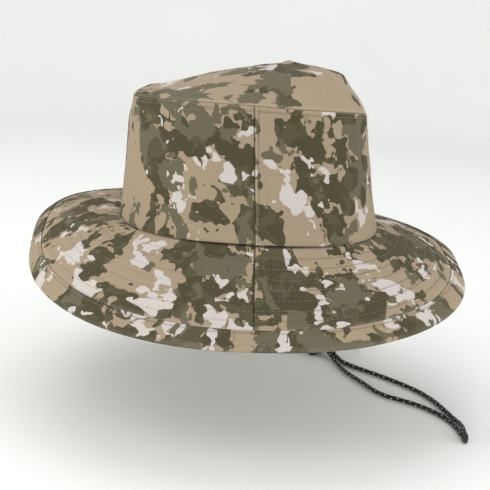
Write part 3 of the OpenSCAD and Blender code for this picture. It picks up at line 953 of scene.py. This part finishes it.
# Along the cloth from the front seam, and up the side band
SIDE_PATCHES = {
    "olive": [
        (-40, 58, 8), (-30, 57, 8), (-20, 58, 7), (-16, 66, 4), (-50, 56, 6), (-60, 52, 5),
        (-66, 66, 6), (-78, 62, 6), (-85, 70, 5), (-74, 54, 5), (-5, 48, 5), (-5, 38, 5),
        (-5, 31, 4), (-3, 68, 4), (-62, 30, 5), (-56, 22, 4), (-66, 14, 4), (-24, 29, 5),
        (-15, 29, 5), (-33, 19, 5), (-26, 16, 4), (-26, 5, 5), (-96, 60, 5), (26, 71, 5),
        (38, 71, 5), (30, 62, 6), (42, 60, 7), (54, 56, 6), (36, 52, 4), (36, 36, 4), (46, 32, 7),
        (56, 34, 7), (62, 26, 5), (50, 14, 5), (54, 5, 4), (70, 40, 6), (80, 32, 6), (90, 44, 6),
        (6, 17, 4), (13, 12, 5), (14, 4, 5), (2, 24, 2), (5, 20, 5), (8, 9, 6),
        (-82, 76, 6), (-72, 75, 6), (-64, 77, 5), (-7, 76, 4), (64, 75, 4), (86, 74, 5),
    ],
    "green": [
        (-45, 70, 6), (-34, 72, 6), (-24, 74, 4), (-12, 60, 3), (-80, 50, 6), (-92, 50, 4), (-37, 33, 4),
        (-58, 40, 3), (-46, 8, 5), (-58, 12, 4), (-5, 14, 3), (-5, 6, 3), (8, 57, 8), (18, 56, 7),
        (25, 52, 4), (66, 66, 6), (68, 52, 4), (84, 58, 6),
        (-56, 77, 6), (-46, 78, 6), (-36, 78, 7), (-26, 78, 6), (-16, 75, 5), (78, 76, 5),
    ],
    "white": [
        (-24, 46, 4), (-15, 45, 4), (-18, 38, 4), (-34, 46, 3), (-29, 42, 2), (-5, 61, 4), (-2, 42, 3),
        (-57, 38, 4), (-52, 32, 4), (-47, 26, 5), (-40, 27, 3), (-46, 20, 3), (-62, 62, 2.5), (-73, 36, 3),
        (-39, 2, 3), (6, 47, 3), (13, 45, 3), (20, 44, 5), (19, 37, 4), (19, 29, 7), (28, 24, 7),
        (36, 21, 6), (33, 15, 3), (35, 46, 3), (41, 41, 4), (68, 21, 5), (76, 14, 5), (84, 18, 4),
        (29, 7, 3), (40, 2, 3),
    ],
    "bare": [
        (-98, 22, 13), (-86, 34, 8), (-80, 8, 6), (-102, 44, 6), (-14, 17, 7), (-12, 5, 5), (8, 72, 6),
        (6, 36, 4), (26, 12, 5), (44, 46, 3),
    ],
}
# Level places on the top panel
TOP_PATCHES = {
    "olive": [
        (10, -35, 9), (4, -25, 9), (11, -65, 7), (22, -40, 6), (-53, -45, 6), (-70, -45, 6), (12, -78, 5),
        (58, -40, 4), (18, -15, 8), (-64, -66, 6), (14, -54, 5),
    ],
    "green": [
        (-24, -45, 7), (-5, -58, 7), (-6, -76, 8), (-35, -76, 8), (-15, -15, 9), (-70, -10, 8),
        (-20, -80, 7), (-50, -74, 7),
    ],
    "white": [
        (-46, -35, 4), (33, -30, 4),
    ],
    "bare": [
        (40, -52, 14), (30, -70, 9),
    ],
}
# Where on the bolt of cloth each piece is cut, in metres
CUT_AT = {
    "brim_top_left": (0.9, 0.4), "brim_top_right": (0.2, 0.1), "brim_under_left": (5.3, 0.6),
    "brim_under_right": (6.1, 0.8), "crown_side_left": (1.7, 0.3), "crown_side_right": (2.6, 0.5),
    "crown_top": (3.3, 0.2), "brim_edge_binding": (4.4, 0.9),
}
# Size of the quads along the brim's edge, how many there are from one stitch row to the next, and the size
# of the steps along a path of stitches
GRID, PITCH_QUADS, FINE = 2.3 * MM, 6, 1.2 * MM
# The interlining takes fewer of the brim's rows and columns
COARSE = np.s_[::6, ::3]


def crease_gap(x):
    """Added to the distance from the crown's base: the painted shade in its crease is darkest at the front
    seam.
    """
    return 0.25 * MM + 0.45 * MM * (1 - bump(x, 55 * MM))


def front_share(a):
    """1 at the front of the hat, falling to 0 round the sides."""
    return smooth_step((-np.sin(a) + 0.25) / 0.5)


def brim_half(side, span):
    """The cloths and the interlining of one half, which spans from one angle to another, and its quilting."""
    start, end = span
    shift = QUILT_SHIFT[side]
    a = finer_ends(edge_angles(start, end, GRID), 2.5 * MM, HEAD_HALF_Y + BRIM_WIDTH / 2)
    rows = np.arange(1, PITCH_QUADS * (BRIM_WIDTH - 1.2 * MM) / PITCH) * PITCH / PITCH_QUADS
    a, t = np.meshgrid(a, np.concatenate([[-TUCK_IN, -TUCK_IN / 3], rows]))
    dip = seam_dip(a, start, end, t, 0.5 * MM, 0.9 * MM)
    x = seam_distance(a, start) - (0 if side == "right" else HALF_SEAM)
    paint = hints(x, t, front_share(a), 0.3 * bump(t - BINDING_START, 2 * MM), BRIM_PATCHES)
    # Distances that set the painted shade: in the quilting's valleys, beside the halves' seams, in the crease
    # at the crown's base and at the binding's inner edge
    row = np.clip(np.round((t - shift) / PITCH), 1, QUILT_ROWS)
    paint[..., ROW_OFF] = np.abs(t - shift - row * PITCH)
    beside = from_ends(a, start, end) * (HEAD_HALF_Y + t) + 0.3 * MM
    base = np.maximum(t, 0) + crease_gap(x)
    paint[..., SEAM_OFF] = nearest(beside, base, np.abs(t - BINDING_START) + 0.6 * MM)
    plain = paint.copy()
    plain[..., :ROW_OFF] = 0
    cut = brim_cut(a, t, start)
    sheets = []
    for layer, high, sign, layer_paint in (("top", 0.0, 1, paint), ("under", UNDER_TOP, -1, plain)):
        node = f"brim_{layer}_{side}"
        upper = brim_at(a, t, high + dip * (sign > 0), shift, sign)
        lower = brim_at(a, t, high - CLOTH + sign * dip, shift, sign)
        faces = [shell, shell_inside][::sign]
        uvs = cut + CUT_AT[node]
        sheets.append(cloth_for(node, "shell_cloth", upper, lower, faces, uvs, layer_paint))
    node = f"brim_interlining_{side}"
    upper, lower = (brim_at(a[COARSE], t[COARSE], -(CLOTH + GAP) - d) for d in (0, INTERLINING))
    sheets.append(cloth_for(node, "interlining", upper, lower, [canvas], cut[COARSE]))
    fine = edge_angles(start + 0.3, end - 0.3, FINE)
    rows = []
    for t in np.arange(1, QUILT_ROWS + 1) * PITCH + shift:
        up = brim_up(fine, t)
        rows.append((brim_at(fine, t, 0.0, shift, 1), up))
        rows.append((brim_at(fine, t, UNDER_BOTTOM, shift, -1), -up))
    stitches(f"brim_quilting_{side}", rows)
    return sheets


def edge_binding():
    """Folded strip round the edge; its section runs from the upper fold round the edge to the lower one."""
    top, bottom = GAP + TAPE, UNDER_BOTTOM - GAP - TAPE
    middle = (top + bottom) / 2
    start, end = BINDING_JOIN, BINDING_JOIN + 360

    def face(sign):
        """From the fold outward along the top, sign 1, or the bottom, sign -1: (t, d) points."""
        base = middle + sign * (top - middle)
        t = np.concatenate([[0.05, -0.25, 0.1, 0.6, 1.3], np.arange(2.0, 11.5, 0.8)]) * MM + BINDING_START
        d = base + sign * BINDING_HEM * (1 - smooth_step((t - BINDING_START - 4 * MM) / (3 * MM)))
        d[:3] = base + sign * np.array([-TAPE - 0.15 * MM, -TAPE / 2, 0.05 * MM])
        return t, d - sign * 0.22 * MM * bump(t - BINDING_STITCH, 0.5 * MM)

    t_top, d_top = face(1)
    t_low, d_low = face(-1)
    turn = np.radians(np.linspace(80, -80, 11))
    t_nose = BRIM_WIDTH - BINDING_NOSE * (1 - np.cos(turn))
    d_nose = middle + (top - middle) * np.sin(turn) / np.sin(turn[0])
    t = np.concatenate([t_top, t_nose, t_low[::-1]])
    d = np.concatenate([d_top, d_nose, d_low[::-1]])
    # The inner face lies one thickness inside the outer one
    tangent = unit(spread(np.gradient(t), np.gradient(d)))
    t_in = t + tangent[:, 1] * TAPE
    d_in = d - tangent[:, 0] * TAPE
    a = finer_ends(edge_angles(start + 0.02, end - 0.02, GRID), 2.5 * MM, HEAD_HALF_Y + BRIM_WIDTH)
    grid_a, grid_t = np.meshgrid(a, t)
    side = np.sign(d - middle)[:, None]
    dip = seam_dip(grid_a, start, end, 45 * MM, 0.45 * MM, 0.8 * MM)
    length = seam_distance(grid_a, start) * 1.6
    ripple = noise_field(spread(length, grid_t, side), (9 * MM, 6 * MM, 1), 7)
    ripple = 0.16 * MM * ripple * bump(grid_t - BINDING_STITCH, 4 * MM)
    upper = brim_at(grid_a, grid_t, d[:, None] + side * (dip + ripple))
    lower = brim_at(grid_a, t_in[:, None], d_in[:, None] + side * (dip + ripple))
    across = path_lengths(spread(t, d))
    uvs = spread(length, across[:, None]) @ np.array([[0.8, 0.6], [-0.6, 0.8]]) + CUT_AT["brim_edge_binding"]
    paint = unsewn(grid_a.shape)
    paint[..., WEAR] = 0.15 * bump(grid_t - BRIM_WIDTH, 2 * MM)
    # Distances that set the painted shade beside the binding's stitch row and at its join
    paint[..., ROW_OFF] = np.abs(grid_t - BINDING_STITCH)
    paint[..., SEAM_OFF] = from_ends(grid_a, start, end) * (HEAD_HALF_Y + BRIM_WIDTH) + 0.8 * MM
    piece = cloth_for("brim_edge_binding", "shell_cloth", upper, lower, [shell], uvs, paint)
    fine = edge_angles(start + 0.4, end - 0.4, FINE)
    up = brim_up(fine, BINDING_STITCH)
    rows = [(brim_at(fine, BINDING_STITCH, face_d), sign * up) for face_d, sign in ((top, 1), (bottom, -1))]
    stitches("binding_stitches", rows)
    return piece


brim_sheets = brim_half("left", LEFT_HALF) + brim_half("right", RIGHT_HALF)
binding = edge_binding()

# Crown

# The top seam's soft corners: direction and half width in degrees, then how far each comes in and down
SHOULDERS = [(188, 42, 2.4 * MM, 3.2 * MM), (2, 32, 0.0 * MM, 4.0 * MM)]


def settle(points, a, near):
    """Soften the crown's shoulders; near is 1 at the top seam and falls to 0 away from it."""
    for middle, width, come_in, come_down in SHOULDERS:
        move = np.concatenate([-come_in * seam_normal(a), np.full((*a.shape, 1), -come_down)], -1)
        points = points + move * (bump(degrees_from(a, middle), width) * near)[..., None]
    return points


# Distances of the topstitch rows from the front seam and from the top seam
TOPSTITCH_FRONT = 2.3 * MM
TOPSTITCH_TOP = 3.4 * MM
# How much shorter the top seam is than the base
SIDE_TAPER = 0.11


def side_place(a, s):
    """Signed distance from the front seam and height on the side band, in metres on the cloth."""
    x = seam_distance(a, -90)
    x = np.where(x > HALF_SEAM, x - 2 * HALF_SEAM, x)
    return x * (1 - SIDE_TAPER * s), s * CROWN_HEIGHT


# Relief of the side band: its seams, pressed allowances, topstitch valleys, folds, and tucks at base and top
SEAM_DEPTH, ALLOWANCE_RISE, VALLEY_DEPTH = 0.55 * MM, 0.32 * MM, 0.22 * MM
FOLD_HEIGHT, BASE_TUCK, TOP_TUCK = 1.3 * MM, 1.1 * MM, 0.8 * MM
# Folds pulled across the side band: where they meet the base, slant, width and height
PULLED_FOLDS = [
    (30 * MM, 0.34, 3.5 * MM, 0.9 * MM), (46 * MM, 0.22, 4 * MM, 1.1 * MM), (66 * MM, 0.1, 4 * MM, 1.0 * MM),
    (-66 * MM, -0.12, 4 * MM, 0.8 * MM),
]


def pressed(off):
    """1 over a pressed seam allowance, off from its seam, and 0 beyond it."""
    return smooth_step(off / (1 * MM)) * smooth_step((8 * MM - off) / (3 * MM))


def side_relief(a, s):
    """Seams, pressed seam allowances, topstitch valleys and soft upright folds of the side band."""
    x, h = side_place(a, s)
    back = np.abs(np.abs(x) - HALF_SEAM * (1 - SIDE_TAPER * s))
    down = CROWN_HEIGHT - h
    seams = -SEAM_DEPTH * (bump(x, 0.7 * MM) + bump(back, 0.7 * MM))
    allowance = np.maximum(pressed(x), pressed(down))
    valleys = bump(x - TOPSTITCH_FRONT, 0.6 * MM) + bump(down - TOPSTITCH_TOP, 0.6 * MM)
    at = spread(x, h)
    folds = noise_field(at, (17 * MM, 70 * MM), 11) + 0.5 * noise_field(at, (9 * MM, 26 * MM), 12)
    folds = folds * FOLD_HEIGHT * (0.35 + 0.65 * smooth_step((np.abs(x) - 25 * MM) / (45 * MM)))
    for foot, slant, width, height in PULLED_FOLDS:
        folds = folds + height * bump(x - foot - slant * h, width)
    folds = folds * np.sin(math.pi * np.clip(s, 0, 1)) ** 0.6
    tuck = -BASE_TUCK * bump(h, 1.3 * MM) - TOP_TUCK * bump(down, 0.8 * MM)
    return seams + ALLOWANCE_RISE * allowance - VALLEY_DEPTH * valleys + folds + tuck


def wall_point(a, s, d):
    """Point on the side band, with its rounded shoulder."""
    a, s, d = np.broadcast_arrays(a, s, d)
    return settle(side_point(a, s, d), a, smooth_step((s - 0.72) / 0.28) ** 1.5)


def side_half(side, span):
    """The cloth of one half of the side band, which spans from one angle to another."""
    start, end = span
    a = finer_ends(even_angles(seam_point, start + 0.01, end - 0.01, 1.6 * MM), 9 * MM, HEAD_HALF_Y)
    near_top = 1 - np.arange(0, 9, 0.4) * MM / CROWN_HEIGHT
    s = np.concatenate([near_top, np.linspace(0.88, 0.03, 46), [0.02, 0.01, 0.0, -0.006]])
    a, s = np.meshgrid(a, s)
    relief = side_relief(a, s)
    upper = wall_point(a, s, relief)
    lower = wall_point(a, s, relief - CLOTH)
    x, h = side_place(a, s)
    down = CROWN_HEIGHT - h
    back = HALF_SEAM * (1 - SIDE_TAPER * s) - np.abs(x)
    turn = seam_distance(a, start) / SIDE_CUT_RADIUS
    radius = SIDE_CUT_RADIUS - h
    node = f"crown_side_{side}"
    uvs = spread(radius * np.sin(turn), -radius * np.cos(turn)) + CUT_AT[node]
    wear = 0.2 * bump(down, 1.2 * MM) + 0.25 * bump(x - 1.2 * MM, 0.8 * MM)
    paint = hints(x, h, front_share(a), wear, SIDE_PATCHES)
    # Distances that set the painted shade: beside the topstitch rows and the seams, under the top seam and in
    # the crease at the base
    row_x = x if side == "right" else back
    paint[..., ROW_OFF] = nearest(np.abs(down - TOPSTITCH_TOP), np.abs(row_x - TOPSTITCH_FRONT))
    beside = np.minimum(np.abs(x), back) + 0.5 * MM
    base = np.maximum(h, 0) + crease_gap(x)
    paint[..., SEAM_OFF] = nearest(beside, base, down + 0.75 * MM)
    return cloth_for(node, "shell_cloth", upper, lower, [shell, shell_inside], uvs, paint)


# The print on the top panel is drawn out from front to back
TIP_STRETCH = (1.0, 0.5)
# Where something under the top panel holds it up in a point: x, y, height and reach in millimetres
TENTS = [(20, 0, 3.8, 7), (57, -5, 7.5, 8)]
TENT_BLUNTNESS = 1.8
# Tension ridges from the top seam inward: direction and half width in degrees
TIP_RIDGES = [(-152, 8), (-128, 6), (-64, 7), (-34, 6), (12, 7), (60, 8), (118, 7), (166, 8)]
# Heights of the ridges and of the soft hollows, large and small; depths of the slack place and of the tuck
TIP_RIDGE_HEIGHT, TIP_HOLLOWS, TIP_SLACK, TIP_TUCK = 1.1 * MM, (1.5 * MM, 0.5 * MM), 3.5 * MM, 0.9 * MM


def dome_relief(a, r):
    """Tuck at the seam, tension ridges, soft hollows and held-up points of the top panel."""
    p = dome_point(a, r, 0.0)
    edge = (1 - r) * 0.5 * (HEAD_HALF_X + HEAD_HALF_Y) * 0.9
    inside = smooth_step(edge / (12 * MM))
    large, small = (noise_field(p[..., :2], size, seed) for size, seed in ((34 * MM, 21), (13 * MM, 22)))
    soft = TIP_HOLLOWS[0] * large + TIP_HOLLOWS[1] * small
    ridges = 0
    for middle, width in TIP_RIDGES:
        ridges = ridges + TIP_RIDGE_HEIGHT * bump(degrees_from(a, middle), width)
    ridges = ridges * smooth_step((r - 0.35) / 0.45)
    tents = 0
    for x, y, height, reach in TENTS:
        away = np.hypot(p[..., 0] / MM - x, p[..., 1] / MM - y)
        tents = tents + height * MM * np.exp((TENT_BLUNTNESS - np.hypot(away, TENT_BLUNTNESS)) / reach)
    slack = -TIP_SLACK * bump(degrees_from(a, 0), 38) * bump(r - 0.84, 0.12)
    return (soft + ridges + slack) * inside + tents - TIP_TUCK * bump(edge, 0.9 * MM)


def tip_point(a, r, d):
    """Point on the top panel, with the rounded shoulder."""
    edge = (1 - r) * 0.45 * (HEAD_HALF_X + HEAD_HALF_Y)
    return settle(dome_point(a, r, d), a, np.exp(-edge / (7 * MM)))


def crown_top():
    columns = 260
    a = np.linspace(0, TAU, columns, endpoint=False)
    r = np.concatenate([np.linspace(0.03, 0.96, 56), [0.972, 0.982, 0.99, 0.995, 1.0]])
    a, r = np.meshgrid(a, r)
    relief = dome_relief(a, r)
    upper = tip_point(a, r, relief + CLOTH)
    lower = tip_point(a, r, relief)
    count = a.size
    top = ring_quads(len(r), columns)[:, [0, 3, 2, 1]]
    j = np.arange(columns)
    k = (j + 1) % columns
    last = count - columns
    rim = spread(last + k, last + j, last + j + count, last + k + count)
    faces = top.tolist() + (top[:, ::-1] + count).tolist() + rim.tolist()
    faces += [list(range(columns)), list(range(count + columns - 1, count - 1, -1))]
    inside = np.zeros(len(faces), np.int32)
    inside[len(top) : 2 * len(top)] = 1
    inside[-1] = 1
    x, y = upper[..., 0], upper[..., 1]
    uvs = upper[..., :2] * TIP_STRETCH + CUT_AT["crown_top"]
    paint = hints(x, y, smooth_step(0.5 - y / (60 * MM)), 0.3 * bump(1 - r, 0.015), TOP_PATCHES)
    # Distance that sets the painted shade next to the top seam
    paint[..., SEAM_OFF] = (1 - r) * HEAD_HALF_X + 0.75 * MM
    cloths = [shell, shell_inside]
    piece = make_object(
        "crown_top_cloth", [upper, lower], faces, cloths, "hat", [uvs, uvs], [paint, paint], inside,
    )
    return stand_in(piece, "crown_top")


def band_piece(node, slot, material, span, low, high, out, thick, relief=None):
    """Strip on the inside of the side band, between two heights, out inside the outer face."""
    start, end = span
    s = np.linspace(high, low, max(4, round((high - low) / (2 * MM)))) / CROWN_HEIGHT
    a, s = np.meshgrid(even_angles(seam_point, start, end, 2.5 * MM), s)
    soft = 0 if relief is None else relief(a, s)
    upper = wall_point(a, s, soft - out)
    lower = wall_point(a, s, soft - out - thick)
    uvs = spread(seam_distance(a, start), s * CROWN_HEIGHT)
    return cloth_for(node, slot, upper, lower, [material], uvs)


side_left = side_half("left", LEFT_HALF)
side_right = side_half("right", RIGHT_HALF)
tip = crown_top()

TAPE_OUT = CLOTH + GAP
TAPE_TOP, TAPE_LOW = CROWN_HEIGHT - 3 * MM, CROWN_HEIGHT - 15 * MM
BAND_OUT = TAPE_OUT + 0.2 * MM


def follow_folds(a, s):
    return side_relief(a, s) * (s < 0.97) * (s > 0.05)


top_tape = band_piece("crown_top_seam_tape", "seam_tape", lining, (90.2, 449.8), TAPE_LOW, TAPE_TOP,
                      TAPE_OUT, TAPE, follow_folds)
half_tape = math.degrees(6 * MM / HEAD_HALF_Y)
upright_tapes = [
    band_piece(f"crown_{name}_seam_tape", "seam_tape", lining, (seam - half_tape, seam + half_tape),
               BAND_HEIGHT + 1.5 * MM, TAPE_LOW - 1.5 * MM, TAPE_OUT, TAPE)
    for name, seam in (("front", FRONT), ("back", BACK))
]
sweatband = band_piece("sweatband", "sweatband_cloth", band_cloth, (90.3, 449.7), 0.8 * MM, BAND_HEIGHT,
                       BAND_OUT, BAND)
label = band_piece("size_label", "label_cloth", label_cloth, (83, 97), 6.3 * MM, 25.3 * MM,
                   BAND_OUT + BAND + GAP, TAPE)


def crown_row(a, s):
    """A topstitch row on the side band: its path and outward directions."""
    relief = side_relief(a, s)
    return wall_point(a, s, relief), side_point(a, s, relief + 1.0) - side_point(a, s, relief)


def crown_stitches():
    """One row under the top seam, and one beside the front and the back seam."""
    a = even_angles(seam_point, -89, 269, FINE)
    rows = [crown_row(a, np.full_like(a, 1 - TOPSTITCH_TOP / CROWN_HEIGHT))]
    s = np.linspace(0.03, 0.95, 80)
    for seam in (FRONT, BACK):
        rows.append(crown_row(np.full_like(s, math.radians(seam) + TOPSTITCH_FRONT / HEAD_HALF_Y), s))
    stitches("crown_topstitches", rows)


def sweatband_stitches():
    """A row near the sweatband's lower edge and one near its upper edge."""
    a = even_angles(seam_point, 91, 449, FINE)
    inner = BAND_OUT + BAND
    rows = []
    for height in (2.5 * MM, BAND_HEIGHT - 2.5 * MM):
        s = np.full_like(a, height / CROWN_HEIGHT)
        path = side_point(a, s, -inner)
        rows.append((path, side_point(a, s, -inner - 1.0) - path))
    stitches("sweatband_stitches", rows)


crown_stitches()
sweatband_stitches()

# ---- Tabs, cord tip and cord lock ----

TAB_TOP, TAB_WIDTH = -0.5 * MM, 12 * MM
# How far the tabs' stitch rows are from their middle
TAB_STITCH = 4.3 * MM
LOCK_AT = Vector((67, 88, -120)) * MM
# From the lock's middle towards its nose, the way the button pushes
LOCK_NOSE = Vector((-0.6, -0.8, 0))
SPRING_START, SPRING_END, SPRING_REST = 5.65 * MM, 9.65 * MM, 4 * MM


def cord_tab(side, x):
    """Folded tape sewn down on both sides of the cord's end, fuller in the middle where the cord lies."""
    y, z = np.meshgrid(np.linspace(-0.5, 0.5, 25) * TAB_WIDTH, np.linspace(TAB_BOTTOM, TAB_TOP, 22))
    seam = bump(np.abs(y) - TAB_STITCH, 0.5 * MM)
    half = (1.0 + 1.05 * bump(y, 2.9 * MM)) * MM - 0.25 * MM * seam
    half = half + 0.12 * MM * noise_field(spread(y, z), 3 * MM, 51) * (1 - seam)
    half = half * (0.45 + 0.55 * smooth_step((TAB_TOP - z) / (1.2 * MM)))
    faces = [spread(x + sign * half, TAB_Y + y, z) for sign in (1, -1)]
    cloth_for(f"cord_tab_{side}", "seam_tape", *faces, [lining], spread(y, z))
    z_row = np.linspace(TAB_BOTTOM + 0.6 * MM, TAB_TOP - 1.2 * MM, 12)
    rows = []
    for y_row in (TAB_Y - TAB_STITCH, TAB_Y + TAB_STITCH):
        for sign in (1.0, -1.0):
            rows.append((spread(x + sign * 0.75 * MM, y_row, z_row), spread(sign, 0.0, 0.0 * z_row)))
    stitches(f"cord_tab_{side}_stitches", rows)


def cord_tip():
    """Whipping of thin cord round both cords' ends, closed by a rounded cap."""
    middle = (cord_paths["left"][-1] + cord_paths["right"][-1]) / 2
    before, whipped, cap = 0.5 * MM, 2.8 * MM, 1.6 * MM
    radius, drawn_out = 1.58 * MM, 1.6 * MM
    winding, winding_relief = 0.55 * MM, 0.045
    capped = np.sin(np.radians(np.arange(6, 91, 6)))
    along = np.concatenate([np.linspace(0, whipped, 45), whipped + cap * capped])
    size = np.sqrt(np.clip(1 - (np.clip(along - whipped, 0, cap) / cap) ** 2, 1e-4, 1))
    size = size * (1 + winding_relief * np.sin(TAU * along / winding) * (along < whipped))
    sides = 32
    turn = np.linspace(0, TAU, sides + 1)
    # Its section is drawn out up and down, as one cord lies on the other
    wide = radius * np.cos(turn)
    high = radius * np.sin(turn) + drawn_out * np.tanh(4 * np.sin(turn))
    size = size[:, None]
    points = spread(middle[0] + size * wide, (middle[1] + before - along)[:, None], middle[2] + size * high)
    faces = capped_rings(len(along), sides)
    uvs = spread(along[:, None], turn * 2.4 * MM)
    piece = make_object("cord_tip_whipping", points, faces, [whipping_material()], "hat", uvs)
    return stand_in(piece, "cord_tip")


def lock_spring():
    """Compression spring between the button and the bottom of the lock's bore."""
    wire, coil, turns = 0.14 * MM, 2.2 * MM, 3.5
    share = np.linspace(0, 1, 120)[:, None]
    along = SPRING_START + wire + share * (SPRING_END - SPRING_START - 2 * wire)
    side, up = np.array([0.8, -0.6, 0]), np.array([0, 0, 1])
    turn = share * turns * TAU
    path = np.array(LOCK_AT) + along * np.array(LOCK_NOSE) + coil * (np.cos(turn) * side + np.sin(turn) * up)
    piece = tube("cord_lock_spring_coil", path, wire, 8, steel_material(), "cord_lock")
    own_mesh(piece)
    return stand_in(piece, "cord_lock_spring")


cord_tab("left", -TAB_X)
cord_tab("right", TAB_X)
tip_whipping = cord_tip()
spring = lock_spring()
for node in ("cord_lock_body", "cord_lock_button"):
    data = nodes[node].data
    data.materials.clear()
    data.materials.append(plastic)
